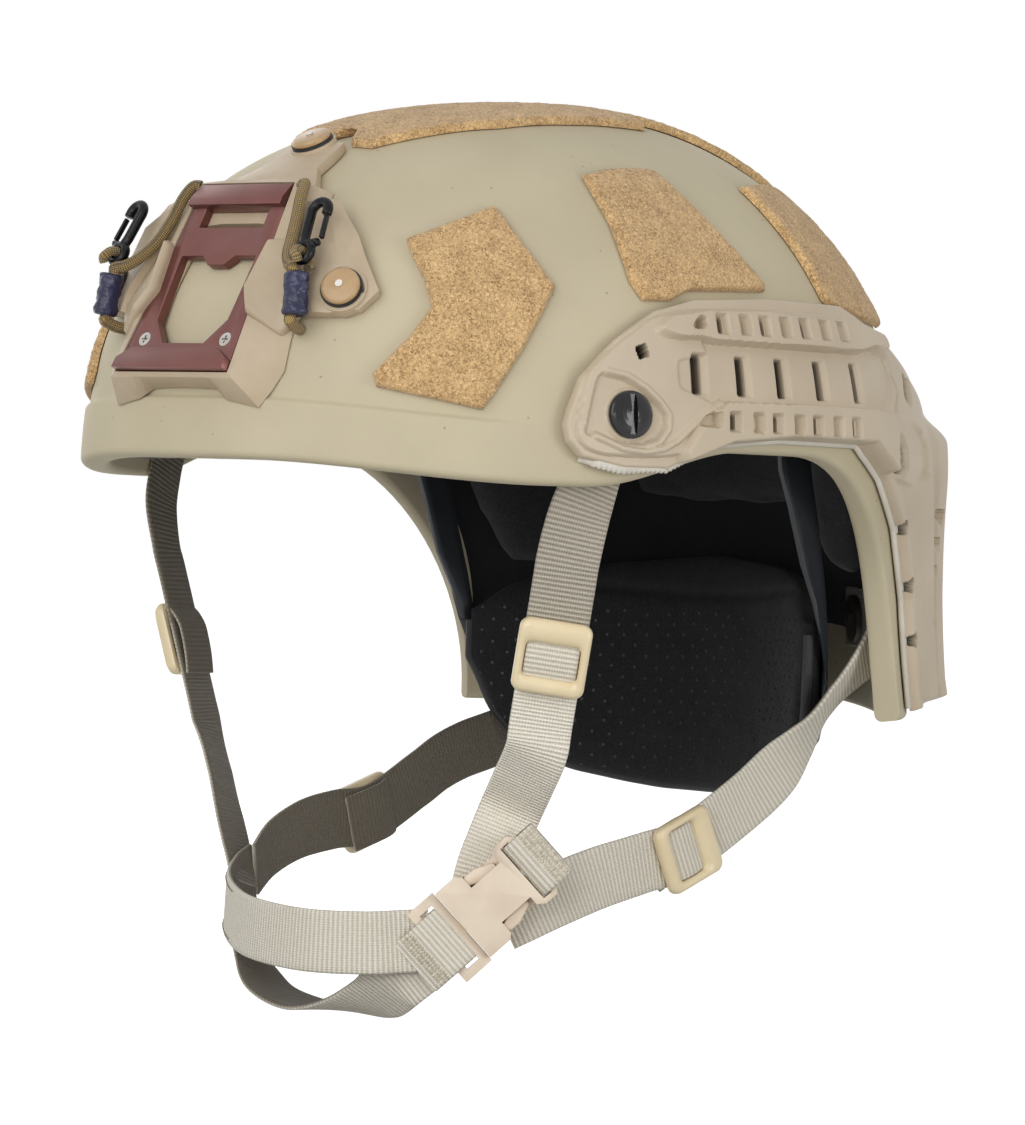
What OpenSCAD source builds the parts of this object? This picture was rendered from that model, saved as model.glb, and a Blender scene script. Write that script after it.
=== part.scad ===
// Combat helmet with side rails, a front shroud, a dial fit system and a four point chin strap.
// The front faces -Y, the wearer's left is +X and the crown is +Z. The origin is the middle of
// the shell's length, on the level of the brim's front edge.

/* [Shell] */
// Length of the shell, front to back
shell_len = 276; // [262:1:290]
// Width of the shell across the widest station
shell_wid = 224.9; // [214:0.1:236]
// Height of the crown above the front brim edge
crown_up = 112.5; // [104:0.5:120]
// Depth of the part of the shell that lies in front of the widest station
front_deep = 149.8; // [142:0.1:156]
// Thickness of the shell wall
wall = 8; // [7:0.5:9]
// Height of the thicker band along the front brim
brim_band = 17.5; // [12:0.5:22]
// How far that band stands proud of the shell
band_proud = 1.2; // [0.4:0.1:2]
// How far the brim edge dips between the front and the temple
brim_dip = 5; // [2:0.5:8]
// Height of the ear opening above the front brim edge
ear_up = 7; // [3:0.5:10]
// Depth of the rear lobes below the front brim edge
lobe_down = 73.5; // [66:0.5:80]
// Rise of the rim at the middle of the back, above the lobes
rear_rise = 6; // [2:0.5:12]

/* [Rails] */
// Thickness of the soft pad under each rail
rail_pad_thk = 0.9; // [0.6:0.1:1.4]
// Height of the rail's thin outer flange above the shell
rail_flange = 2.8; // [2.4:0.1:3.6]
// Height of the channel floor above the shell
rail_floor = 6.8; // [6:0.1:8]
// Height of the two lips above the shell
rail_lip = 10.5; // [9.5:0.1:12]
// Height of a tall slot in the channel floor
slot_high = 11; // [8:0.5:13]
// Width of a tall slot
slot_wide = 3.2; // [2:0.1:4]
// Side of a small notch in a lip
notch = 3.2; // [2.4:0.1:3.8]

/* [Shroud] */
// Width of the insert plate at its foot
plate_w = 48.8; // [46:0.1:51]
// Width of the insert plate at its top
plate_top_w = 40.4; // [38:0.1:43]
// Length of the insert plate along its slope
plate_len = 56; // [53:0.5:59]
// Thickness of the insert plate
plate_thk = 3; // [2.4:0.1:3.6]
// Backward tilt of the insert plate from the vertical
plate_tilt = 26.7; // [24:0.1:29]
// Width of the window in the insert plate
window_w = 33; // [28:0.5:36]
// Length of the window in the insert plate
window_len = 30; // [24:0.5:33]

/* [Fasteners] */
// Diameter of the domed rail bolt heads
bolt_head_d = 14.4; // [12:0.1:16]
// Diameter of all bolt shanks through the shell
shank_d = 5.2; // [4:0.1:6]
// Diameter of the round shroud screw heads
screw_head_d = 12; // [10:0.1:13]
// Diameter of the two small countersunk insert screws
insert_screw_d = 4.6; // [3.8:0.1:5.2]
// Clearance round every shank, on the radius
hole_gap = 0.4; // [0.2:0.05:0.6]

/* [Loop panels] */
// Thickness of the loop fabric panels
loop_thk = 2.6; // [1.8:0.1:3.2]

/* [Pads] */
// Thickness of the pads inside the shell
pad_thk = 18; // [14:0.5:22]
// Thickness of the nape pad
nape_thk = 12; // [9:0.5:14]
// Half width of the nape pad
nape_half = 74; // [68:1:78]
// Level of the nape pad's lowest point below the front brim edge
nape_down = 97; // [90:1:100]

/* [Fit system] */
// Thickness of the fit bands
band_thk = 1.6; // [1.2:0.1:2]
// Diameter of the dial knob
knob_d = 27; // [24:0.5:30]
// Depth of the dial knob
knob_deep = 8; // [6:0.5:9]
// Number of grip flutes round the knob
knob_flutes = 16; // [12:1:24]
// Number of teeth on the dial's pinion
pinion_teeth = 12; // [10:1:16]

/* [Webbing] */
// Width of the webbing
web_w = 19; // [16:0.5:20]
// Thickness of the webbing
web_thk = 1.6; // [1.2:0.1:1.8]
// Width of a strap slider
slider_w = 25; // [24:0.5:27]
// Length of a strap slider along the webbing
slider_len = 24; // [20:0.5:26]
// Thickness of a slider's front plate
slider_thk = 2.8; // [2:0.1:3.4]
// Width of the buckle socket
buckle_w = 25; // [23:0.5:27]
// Length of the buckle socket
buckle_len = 30; // [27:0.5:33]
// Thickness of the buckle socket
buckle_thk = 9; // [8:0.5:10]

/* [Lanyards] */
// Diameter of the elastic cord
cord_d = 3.6; // [3:0.1:4]
// Outer diameter of the shrink sleeve on the cord
sleeve_d = 7; // [6:0.1:8]
// Length of the shrink sleeve
sleeve_len = 13; // [10:0.5:15]
// Thickness of the plastic clip
clip_thk = 3.4; // [2.8:0.1:4]

/* [Hidden] */
$fn = 48;

// General gap between soft or curved pieces that only lie against each other
gap = 0.3;
// Gap between the shell's faceted inside and what lies on it
inner_gap = 0.6;
widest_y = front_deep - shell_len/2;
nose = -shell_len/2;
tail = shell_len/2;
rear_deep = shell_len - front_deep;
half_w = shell_wid/2;

// Shape exponents and levels of the shell's front and rear halves
square_f = 2.295;
square_r = 1.945;
dome_pf = 2.244;
dome_pr = 1.808;
dome_qf = 2.665;
dome_qr = 1.967;
waist_f = 2.8;
waist_r = -0.8;
flare_f = 0.022;
flare_r = 0.104;
lean = 4.99;
lean_level = 14;

// Angles round the shell, from the front towards the side
ear_front_a = 56;
ear_top_a = 84;
ear_back_a = 98;
ear_rear_a = 129.6;

function unit(v) = v/norm(v);
function mix(a, b, u) = a + (b - a)*u;
function clamp(u) = min(1, max(0, u));
function ease(u) = let (c = clamp(u)) c*c*(3 - 2*c);
function ramp(v, lo, hi) = ease((v - lo)/(hi - lo));

// Weight of the rear half's shape at angle a
function rearness(a) = (1 - cos(a))/2;

// Share of the plan outline that the shell has at level z
function swell(a, z) =
    let (
        u = rearness(a),
        zc = mix(waist_f, waist_r, u),
        p = mix(dome_pf, dome_pr, u),
        q = mix(dome_qf, dome_qr, u),
        fl = mix(flare_f, flare_r, u),
        k = (z - zc)/(crown_up - zc)
    )
    z >= zc ? pow(max(0, 1 - pow(k, p)), 1/q) : 1 + fl*pow((zc - z)/100, 2);

// Distance of the plan outline from the widest station's middle, at angle a
function reach(a) =
    let (
        n = cos(a) > 0 ? square_f : square_r,
        deep = cos(a) > 0 ? front_deep : rear_deep
    )
    pow(pow(abs(sin(a))/half_w, n) + pow(abs(cos(a))/deep, n), -1/n);

// Point of the shell's outer surface at level z, at angle b about the widest station's middle
function skin(b, z) =
    let (r = reach(b)*swell(b, z))
    [r*sin(b), widest_y - r*cos(b) + lean*(z - lean_level)/100, z];

// Outward normal of the shell there
function skin_normal(b, z) =
    let (
        zz = min(z, crown_up - 0.6),
        db = skin(b + 0.5, zz) - skin(b - 0.5, zz),
        dz = skin(b, zz + 0.3) - skin(b, zz - 0.3)
    )
    unit(cross(db, dz));

// Point there at distance off outside the shell
function skin_off(b, z, off) = skin(b, z) + off*skin_normal(b, z);

// The angle b of the shell's point that lies at angle a about the origin
function turned(a, z, b, tries = 4) =
    let (p = skin(b, z))
    tries == 0 ? b : turned(a, z, b + a - atan2(p[0], -p[1]), tries - 1);

// Point at angle a about the origin, level z and distance off outside the shell
function at(a, z, off) = skin_off(turned(a, z, a), z, off);

// Level of the shell over a plan point, for pieces on the crown
function crown_level(x, y, z, tries = 4) =
    let (
        yy = y - widest_y - lean*(z - lean_level)/100,
        a = atan2(x, -yy),
        u = rearness(a),
        zc = mix(waist_f, waist_r, u),
        k = norm([x, yy])/reach(a),
        lift = pow(max(0, 1 - pow(k, mix(dome_qf, dome_qr, u))), 1/mix(dome_pf, dome_pr, u)),
        znew = zc + (crown_up - zc)*lift
    )
    tries == 0 ? znew : crown_level(x, y, znew, tries - 1);

// Point at distance off above the shell over a plan point
function over(x, y, off) =
    let (
        e = 0.5,
        p = [x, y, crown_level(x, y, crown_up)],
        px = [x + e, y, crown_level(x + e, y, crown_up)],
        py = [x, y + e, crown_level(x, y + e, crown_up)]
    )
    p + off*unit(cross(px - p, py - p));

// Level of the shell's lower edge at angle a
function edge(a0) =
    let (
        a = abs(a0),
        u = clamp((a - ear_back_a)/(ear_rear_a - ear_back_a)),
        front = -brim_dip*ramp(a, 10, 50) + (ear_up + brim_dip)*ramp(a, ear_front_a, ear_top_a)
    )
    front - (ear_up + lobe_down)*(1 - sqrt(1 - u*u)) + rear_rise*ramp(a, 140, 180);

// Faces of a closed solid whose skin is a tube of m points in each of n rings, closed at both ends
function tube_faces(n, m) = concat(
    [for (i = [0:n - 2]) for (j = [0:m - 1]) [i*m + j, i*m + (j + 1)%m, (i + 1)*m + (j + 1)%m]],
    [for (i = [0:n - 2]) for (j = [0:m - 1]) [i*m + j, (i + 1)*m + (j + 1)%m, (i + 1)*m + j]],
    [for (j = [1:m - 2]) [0, j + 1, j]],
    [for (j = [1:m - 2]) [(n - 1)*m, (n - 1)*m + j, (n - 1)*m + j + 1]]
);

// A closed solid between two grids of points of the same size: outer is seen from outside
module slab(outer, inner) {
    n = len(outer);
    m = len(outer[0]);
    pts = concat([for (row = outer) each row], [for (row = inner) each row]);
    k = n*m;
    rim = concat(
        [for (j = [0:m - 1]) j],
        [for (i = [1:n - 1]) i*m + m - 1],
        [for (j = [m - 2:-1:0]) (n - 1)*m + j],
        [for (i = [n - 2:-1:1]) i*m]
    );
    r = len(rim);
    polyhedron(
        points = pts,
        faces = concat(
            [for (i = [0:n - 2]) for (j = [0:m - 2]) each [
                [i*m + j, i*m + j + 1, (i + 1)*m + j + 1],
                [i*m + j, (i + 1)*m + j + 1, (i + 1)*m + j]
            ]],
            [for (i = [0:n - 2]) for (j = [0:m - 2]) each [
                [k + i*m + j, k + (i + 1)*m + j + 1, k + i*m + j + 1],
                [k + i*m + j, k + (i + 1)*m + j, k + (i + 1)*m + j + 1]
            ]],
            [for (i = [0:r - 1]) each [
                [rim[i], k + rim[(i + 1)%r], rim[(i + 1)%r]],
                [rim[i], k + rim[i], k + rim[(i + 1)%r]]
            ]]
        ),
        convexity = 6
    );
}

// A row of n + 1 points spread evenly along a list of corner points
function spread(row, n) = [for (i = [0:n])
    let (
        s = i/n*(len(row) - 1),
        k = min(floor(s), len(row) - 2)
    )
    mix(row[k], row[k + 1], s - k)];

// Rows of a panel refined to n by m cells
function refine(rows, n, m) =
    let (cols = [for (row = rows) spread(row, m)])
    [for (i = [0:n])
        let (
            s = i/n*(len(rows) - 1),
            k = min(floor(s), len(rows) - 2)
        )
        [for (j = [0:m]) mix(cols[k][j], cols[k + 1][j], s - k)]];

// A panel that follows the shell: rows of [angle, level], from the top down
module skin_panel(rows, n, m, lo, hi) {
    g = refine(rows, n, m);
    slab(
        [for (row = g) [for (p = row) at(p[0], p[1], hi)]],
        [for (row = g) [for (p = row) at(p[0], p[1], lo)]]
    );
}

// Moves children so that their Z axis leaves the shell at angle a, level z and distance off
module on_skin(a, z, off = 0, turn = 0) {
    n = skin_normal(turned(a, z, a), z);
    side = unit(cross([0, 0, 1], n));
    up = cross(n, side);
    p = at(a, z, off);
    multmatrix([
        [side[0], up[0], n[0], p[0]],
        [side[1], up[1], n[1], p[1]],
        [side[2], up[2], n[2], p[2]],
        [0, 0, 0, 1]
    ])
        rotate([0, 0, turn])
            children();
}

// Children on the wearer's left for s = 1 and mirrored to the right for s = -1
module sided(s) {
    if (s > 0)
        children();
    else
        mirror([1, 0, 0])
            children();
}

// Places of the bolts that go through the shell, as [angle, level]
rail_bolt = [60.9, 16];
rear_bolt = [155, -42];
shroud_side = [22, 48.9];
shroud_top_level = 93;

shell_angles = let (
    front = [for (a = [0:6:96]) a],
    ear = [for (k = [0:8]) ear_back_a + (ear_rear_a - ear_back_a)*sin(k*90/8)],
    rear = [for (k = [1:8]) ear_rear_a + (180 - ear_rear_a)*k/8],
    half = concat(front, ear, rear)
) concat(half, [for (k = [len(half) - 2:-1:1]) -half[k]]);
shell_rows = 11;

// Levels of one vertical line of the shell, from the edge to just under the crown
function shell_line(a, top) =
    let (
        e = edge(a),
        z0 = e + brim_band + 1.4
    )
    concat(
        [e, e + brim_band*0.5, e + brim_band, z0],
        [for (k = [1:shell_rows - 1]) z0 + (top - z0)*sin(90*k/shell_rows)]
    );

module shell_body() {
    m = len(shell_angles);
    outer = [for (a = shell_angles)
        let (
            line = shell_line(a, crown_up),
            b = turned(a, edge(a), a),
            proud = band_proud*(1 - ramp(abs(a), 42, 50))
        )
        [for (k = [0:len(line) - 1]) skin_off(b, line[k], k < 3 ? proud : 0)]];
    inner = [for (a = shell_angles)
        let (
            line = shell_line(a, crown_up),
            b = turned(a, edge(a), a)
        )
        [for (z = line) skin_off(b, z, -wall)]];
    n = len(outer[0]);
    k = m*n;
    crown = 2*k;
    pts = concat(
        [for (j = [0:m - 1]) each outer[j]],
        [for (j = [0:m - 1]) each inner[j]],
        [[0, widest_y + lean*(crown_up - lean_level)/100, crown_up]],
        [[0, widest_y + lean*(crown_up - lean_level)/100, crown_up - wall]]
    );
    polyhedron(
        points = pts,
        faces = concat(
            [for (j = [0:m - 1]) for (i = [0:n - 2]) let (q = (j + 1)%m) each [
                [j*n + i, j*n + i + 1, q*n + i + 1],
                [j*n + i, q*n + i + 1, q*n + i],
                [k + j*n + i, k + q*n + i + 1, k + j*n + i + 1],
                [k + j*n + i, k + q*n + i, k + q*n + i + 1]
            ]],
            [for (j = [0:m - 1]) let (q = (j + 1)%m) each [
                [j*n, q*n, k + q*n],
                [j*n, k + q*n, k + j*n],
                [j*n + n - 1, crown, q*n + n - 1],
                [k + j*n + n - 1, k + q*n + n - 1, crown + 1]
            ]]
        ),
        convexity = 8
    );
}

// Bores through the shell for the rail bolts and the shroud screws
module shell_bores() {
    for (s = [-1, 1])
        for (p = [rail_bolt, rear_bolt, shroud_side])
            on_skin(s*p[0], p[1], -wall - 4)
                cylinder(h = wall + 8, r = shank_d/2 + hole_gap);
    on_skin(0, shroud_top_level, -wall - 4)
        cylinder(h = wall + 8, r = shank_d/2 + hole_gap);
}

module shell() {
    color("#9c9478")
        difference() {
            shell_body();
            shell_bores();
        }
}

// Outline of a rail, as the lowest and highest level at each angle
rail_low = [[52, 12], [52.4, 8], [54.4, 3.3], [60.5, 0.8], [67.7, 0.8], [70.4, 3.4], [77.9, 8.9],
    [90.4, 11.2], [114, 11]];
rail_high = [[52, 13.5], [52.4, 17], [54.2, 27], [59.3, 37.9], [66.2, 46.7], [74.3, 50.7],
    [90.5, 52.4], [114, 52]];
rail_cols = 26;
rail_first = 52;
rail_last = 114;
// Share of the rail's height, then its thickness over the shell in the channel and in the foot
rail_section = [
    [0, rail_flange, rail_flange], [0.05, rail_flange + 0.1, rail_flange + 0.1],
    [0.07, rail_lip - 0.9, 5.4], [0.1, rail_lip, 6.2], [0.24, rail_lip, 6.4],
    [0.28, rail_floor, 6.4], [0.42, rail_floor, 6.4], [0.56, rail_floor, 6.3],
    [0.7, rail_floor, 6.2], [0.74, rail_lip, 6.1],
    [0.88, rail_lip, 5.4], [0.92, rail_lip - 0.9, 5], [0.95, rail_flange + 0.1, rail_flange + 0.1],
    [1, rail_flange, rail_flange]
];
pad_seat = 0.5;
pad_top = pad_seat + rail_pad_thk;
rail_seat = pad_top + 0.25;
slot_angles = [for (i = [0:4]) 71.7 + 8.75*i];
slot_level = 28;
upper_notches = [for (i = [0:6]) 76.9 + 4.45*i];
upper_notch_level = 42.8;
lower_notches = [for (i = [0:6]) 78.2 + 4.45*i];
lower_notch_level = 14.8;
blind_depth = 2.4;
pocket_r = bolt_head_d/2 + 0.7;
pocket_floor = 6.6;
rear_floor = 3.8;
// Front and back angle of the rail's leg at each level
leg_front = [[-71, 134.5], [-64, 134], [-36, 131.6], [-14, 125.8], [0.9, 118], [8.2, 112],
    [16, 108.5], [50, 108.5]];
leg_back = [[-71, 146], [-62, 149.5], [24, 149.5], [31, 140], [38, 130], [46, 120], [50, 113]];
leg_levels = [49, 45, 38, 31, 24, 16, 8, 0, -9, -20, -33, -48, -62, -71];
// Share of the leg's width, then its thickness over the shell
leg_section = [[0, 2.6], [0.08, 2.9], [0.14, 6], [0.29, 6.2], [0.44, 6.2], [0.5, 4.4], [0.64, 4.6],
    [0.7, 7.2], [0.82, 7.3], [0.94, 7.2], [1, 2.8]];

// Tab that carries the rear bolt, behind the leg
rail_tab = [[[143, -31], [161, -33.5]], [[143, -42], [163, -42]], [[143, -53], [161, -50.5]]];
rail_tab_thk = 5.4;

module rail_body() {
    angles = [for (i = [0:rail_cols]) mix(rail_first, rail_last, pow(i/rail_cols, 1.12))];
    top = [for (s = [len(rail_section) - 1:-1:0])
        [for (a = angles)
            let (
                row = rail_section[s],
                foot = 1 - ramp(a, 63, 71),
                fade = ramp(a, 109, 113.5),
                full = mix(row[1], row[2], foot)
            )
            at(a, mix(lookup(a, rail_low), lookup(a, rail_high), row[0]),
                mix(full, min(full, 6), fade))]];
    under = [for (s = [len(rail_section) - 1:-1:0])
        [for (a = angles)
            at(a, mix(lookup(a, rail_low), lookup(a, rail_high), rail_section[s][0]), rail_seat)]];
    slab(top, under);
}

module rail_leg() {
    slab(
        [for (z = leg_levels) [for (c = leg_section)
            at(mix(lookup(z, leg_front), lookup(z, leg_back), c[0]), z, c[1])]],
        [for (z = leg_levels) [for (c = leg_section)
            at(mix(lookup(z, leg_front), lookup(z, leg_back), c[0]), z, rail_seat + 0.2)]]
    );
}

// A cut with a rectangular mouth, wide along the shell and high up it
module skin_cut(a, z, wide, high, lo, hi, turn = 0) {
    on_skin(a, z, lo, turn)
        translate([-wide/2, -high/2, 0])
            cube([wide, high, hi - lo]);
}

module rail(s) {
    color("#a08c76")
        sided(s)
            difference() {
                union() {
                    rail_body();
                    rail_leg();
                    skin_panel(rail_tab, 4, 4, rail_seat + 0.2, rail_tab_thk);
                    on_skin(rail_bolt[0], rail_bolt[1], rail_seat + 0.3)
                        cylinder(h = 8.4 - rail_seat, r = pocket_r + 2.4);
                }
                on_skin(rail_bolt[0], rail_bolt[1], pocket_floor)
                    cylinder(h = 8, r = pocket_r);
                for (p = [rail_bolt, rear_bolt])
                    on_skin(p[0], p[1], -2)
                        cylinder(h = 14, r = shank_d/2 + hole_gap);
                on_skin(rear_bolt[0], rear_bolt[1], rear_floor)
                    cylinder(h = 8, r = pocket_r);
                for (a = slot_angles)
                    skin_cut(a, slot_level, slot_wide, slot_high, 0.6, 14);
                for (i = [0:len(upper_notches) - 1])
                    skin_cut(upper_notches[i], upper_notch_level, notch, notch,
                        i%2 == 0 ? 0.6 : rail_lip - blind_depth, 14);
                for (i = [0:len(lower_notches) - 1])
                    skin_cut(lower_notches[i], lower_notch_level, notch, notch,
                        i%2 == 0 ? 0.6 : rail_lip - blind_depth, 14);
                skin_cut(63, 34, 3.4, 3.4, 0.6, 14, 20);
                skin_cut(127.3, 29.4, 4.5, 10, 0.6, 14, -20);
                on_skin(123, 8.1, 0.6)
                    cylinder(h = 14, r = 4.6, $fn = 8);
            }
}

// Soft pad under a rail: it shows as a pale ribbed strip below the foot and along the ear opening
module rail_pad(s) {
    foot = refine([[for (a = [53:3:113]) [a, lookup(a, rail_high) - 1.5]],
        [for (a = [53:3:113]) [a, lookup(a, rail_low) - (a < 68 ? 1.2 : 0.8)]]], 5, 20);
    leg = refine([for (z = leg_levels)
        [[max(lookup(z, leg_front), 113.6) - (z < 8 ? 1.2 : 0), z], [lookup(z, leg_back) - 1, z]]], len(leg_levels) - 1, 7);
    color("#b5a690")
        sided(s)
            difference() {
                union() {
                    for (g = [foot, leg])
                        slab(
                            [for (row = g) [for (p = row) at(p[0], p[1], pad_top)]],
                            [for (row = g) [for (p = row) at(p[0], p[1], pad_seat)]]
                        );
                }
                for (p = [rail_bolt, rear_bolt])
                    on_skin(p[0], p[1], -2)
                        cylinder(h = 8, r = shank_d/2 + hole_gap);
            }
}

bolt_dome = 3.2;
nut_d = 15;
nut_thk = 1.6;
// Depth below the shell's outer face at which the nuts bear, on the webbing or on the shell
nut_level = wall + inner_gap + web_thk + 2*gap;

module rail_bolts() {
    color("#1d1a18")
        for (s = [-1, 1])
            sided(s)
                for (p = [[rail_bolt, pocket_floor], [rear_bolt, rear_floor]])
                    on_skin(p[0][0], p[0][1], p[1] + 0.1)
                        difference() {
                            union() {
                                rotate_extrude()
                                    polygon(concat([[0, 0]], [for (i = [0:8])
                                        [bolt_head_d/2*cos(90*i/8), 0.8 + (bolt_dome - 0.8)*sin(90*i/8)]],
                                        [[0, bolt_dome]]));
                                cylinder(h = 0.81, r = bolt_head_d/2);
                                translate([0, 0, -p[1] - nut_level - nut_thk - 0.1])
                                    cylinder(h = p[1] + nut_level + nut_thk + 0.5, r = shank_d/2);
                            }
                            translate([-1, -6, 1.8])
                                cube([2, 12, 4]);
                        }
}

module rail_nuts() {
    color("#3a3835")
        for (s = [-1, 1])
            sided(s)
                for (p = [rail_bolt, rear_bolt])
                    on_skin(p[0], p[1], -nut_level - nut_thk)
                        difference() {
                            cylinder(h = nut_thk, r = nut_d/2);
                            translate([0, 0, -1])
                                cylinder(h = nut_thk + 2, r = shank_d/2 + 0.05);
                        }
}

// Loop panels: rows of [angle, level] from the top down
chevron = [
    [[28.7, 65.8], [41.2, 77]], [[30.2, 60.5], [44.5, 69.5]], [[32.2, 54.5], [47.8, 61.5]],
    [[33.8, 46], [51, 53.5]], [[31.2, 36.5], [46.5, 35]], [[27.2, 25.8], [42.4, 20]],
    [[27.8, 22.1], [41.2, 16.4]]
];
side_panel = [
    [[58.6, 88], [64, 90.2], [71, 91.2], [78, 91.2]],
    [[62, 73.3], [70, 74], [79, 74.5], [86.5, 73.6]],
    [[64, 56], [72, 56.5], [79, 57.5], [94, 57.6]],
    [[65.8, 51], [71, 51.2], [75, 54.6], [93.6, 56]]
];
rear_panel = [
    [[107.5, 88.6], [118, 90], [131, 90]], [[109.2, 72], [124, 72], [140, 70]],
    [[110.4, 55], [124, 54.5], [143, 56]], [[111.5, 53.4], [125, 49.8], [141, 49]]
];
loop_seat = 0.35;

module loop_panel(rows, n, m, s) {
    color("#b79a6a")
        sided(s)
            skin_panel(rows, n, m, loop_seat, loop_seat + loop_thk);
}

// Half widths of the crown panels at each distance behind the widest station
crown_front = [[-91.8, 17.5], [-83.8, 23.5], [-76.8, 28], [-57.8, 38.4], [-32.8, 43], [-11.8, 44.4],
    [-0.8, 44], [2.2, 41]];
crown_rear = [[7.2, 33], [10.2, 35.5], [22.2, 39], [38.2, 45], [52.2, 47], [60.2, 44]];

module crown_panel(widths, n, m) {
    first = widths[0][0];
    last = widths[len(widths) - 1][0];
    ys = [for (i = [0:n]) mix(first, last, i/n)];
    slab(
        [for (y = ys) [for (j = [0:m]) over(mix(1, -1, j/m)*lookup(y, widths), widest_y + y, loop_seat + loop_thk)]],
        [for (y = ys) [for (j = [0:m]) over(mix(1, -1, j/m)*lookup(y, widths), widest_y + y, loop_seat)]]
    );
}

module loop_crown() {
    color("#b79a6a")
        difference() {
            crown_panel(crown_front, 10, 8);
            translate([-8, widest_y - 101.8, crown_up - 32.5])
                cube([16, 22, 40]);
        }
}

module loop_crown_rear() {
    color("#b79a6a")
        crown_panel(crown_rear, 6, 8);
}

// Frame of the insert plate: X across, V up its slope, N out of its face
plate_foot = [0, nose - 7.4, 26.5];
plate_v = [0, sin(plate_tilt), cos(plate_tilt)];
plate_n = [0, -cos(plate_tilt), sin(plate_tilt)];
bar_proud = 2.5;
seat_n = -(plate_thk + bar_proud);
hood_len = 8;
bar_len = 7;

function plate_point(x, v, n = 0) = plate_foot + [x, 0, 0] + v*plate_v + n*plate_n;

// Whether a point lies inside the shell's skin, with its proud band, grown by off
function within(p, off) =
    let (
        y = p[1] - widest_y - lean*(p[2] - lean_level)/100,
        a = atan2(p[0], -y),
        band = band_proud*(1 - ramp(p[2], brim_band + 0.4, brim_band + 2))
    )
    norm([p[0], y]) < reach(a)*swell(a, p[2]) + off + band;

// Distance from a point along -N down to the skin
function fall(p, off, lo = 0, hi = 40, tries = 12) =
    let (mid = (lo + hi)/2)
    tries == 0 ? lo : within(p - mid*plate_n, off)
        ? fall(p, off, lo, mid, tries - 1)
        : fall(p, off, mid, hi, tries - 1);

function on_foot(x, v, off) = let (p = plate_point(x, v)) p - fall(p, off)*plate_n;

module in_plate(n = 0) {
    multmatrix([
        [-1, 0, 0, plate_foot[0]],
        [0, plate_v[1], plate_n[1], plate_foot[1] + n*plate_n[1]],
        [0, plate_v[2], plate_n[2], plate_foot[2] + n*plate_n[2]],
        [0, 0, 0, 1]
    ])
        children();
}

// Stations round one half of the shroud frame, from the bottom middle to the top middle:
// foot on the shell, outer rim, insert seat and window edge, each as [x, v]
plate_side = (plate_w - plate_top_w)/2/plate_len;
frame_half = [
    [[0, -1.6], [0, -1.6], [0, -0.4], [0, 7]],
    [[14, -1.8], [14, -1.6], [14, -0.4], [10, 7]],
    [[19, -5], [20, -1.8], [20, -0.4], [14, 7.5]],
    [[31, -6], [26.6, -1.8], [plate_w/2 + 0.4, -0.4], [16.5, 8.5]],
    [[36.5, 6], [27.4, 4], [plate_w/2 + 0.3, 3], [16.8, 12]],
    [[36, 22], [27, 20], [plate_w/2 + 0.4 - 20*plate_side, 20], [16.6, 20]],
    [[33, 40], [25.6, 38], [plate_w/2 + 0.4 - 38*plate_side, 38], [16, 32]],
    [[29, 55], [24.4, 52], [plate_w/2 + 0.4 - 52*plate_side, 52], [15.5, 48]],
    [[24, 68], [22, 65.6], [plate_top_w/2 + 0.2, 64.6], [15, 51.6]],
    [[10, 71], [10, 66.4], [10, 64.8], [8, 52.4]],
    [[0, 71], [0, 66.4], [0, 64.8], [0, 52.4]]
];
frame_side = refine(frame_half, 2*len(frame_half) - 2, 3);
frame_ring = concat(frame_side, [for (i = [len(frame_side) - 2:-1:1])
    [for (p = frame_side[i]) [-p[0], p[1]]]]);
foot_gap = 0.65;
rim_n = -bar_proud + 0.2;

module shroud_frame() {
    m = 6;
    n = len(frame_ring);
    pts = [for (c = frame_ring) each [
        on_foot(c[0][0], c[0][1], foot_gap),
        plate_point(c[1][0], c[1][1], rim_n - 1),
        plate_point(c[2][0], c[2][1], rim_n),
        plate_point(c[2][0], c[2][1], seat_n),
        plate_point(c[3][0], c[3][1], seat_n),
        on_foot(c[3][0], c[3][1], foot_gap)
    ]];
    polyhedron(
        points = pts,
        faces = [for (i = [0:n - 1]) for (j = [0:m - 1])
            let (
                a = i*m + j,
                b = i*m + (j + 1)%m,
                c = ((i + 1)%n)*m + (j + 1)%m,
                d = ((i + 1)%n)*m + j
            ) each [[a, b, c], [a, c, d]]],
        convexity = 8
    );
}

// A panel whose thickness over the shell varies: rows of [angle, level, thickness]
module skin_relief(rows, n, m, lo) {
    g = refine(rows, n, m);
    slab(
        [for (row = g) [for (p = row) at(p[0], p[1], p[2])]],
        [for (row = g) [for (p = row) at(p[0], p[1], lo)]]
    );
}

shroud_arm = [
    [[12, 74, 5], [15.5, 73.4, 8], [18.6, 71.8, 8]],
    [[13.5, 65, 5.5], [19, 64.6, 9], [22.4, 64, 6]],
    [[15, 55, 6], [21, 55.5, 5.5], [25.4, 54, 4.5]],
    [[15.8, 48, 6], [21.5, 48.5, 4.6], [26.8, 49, 4]],
    [[15.8, 42, 5.5], [20.8, 42, 4.6], [24.6, 43.6, 3.6]]
];
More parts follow.
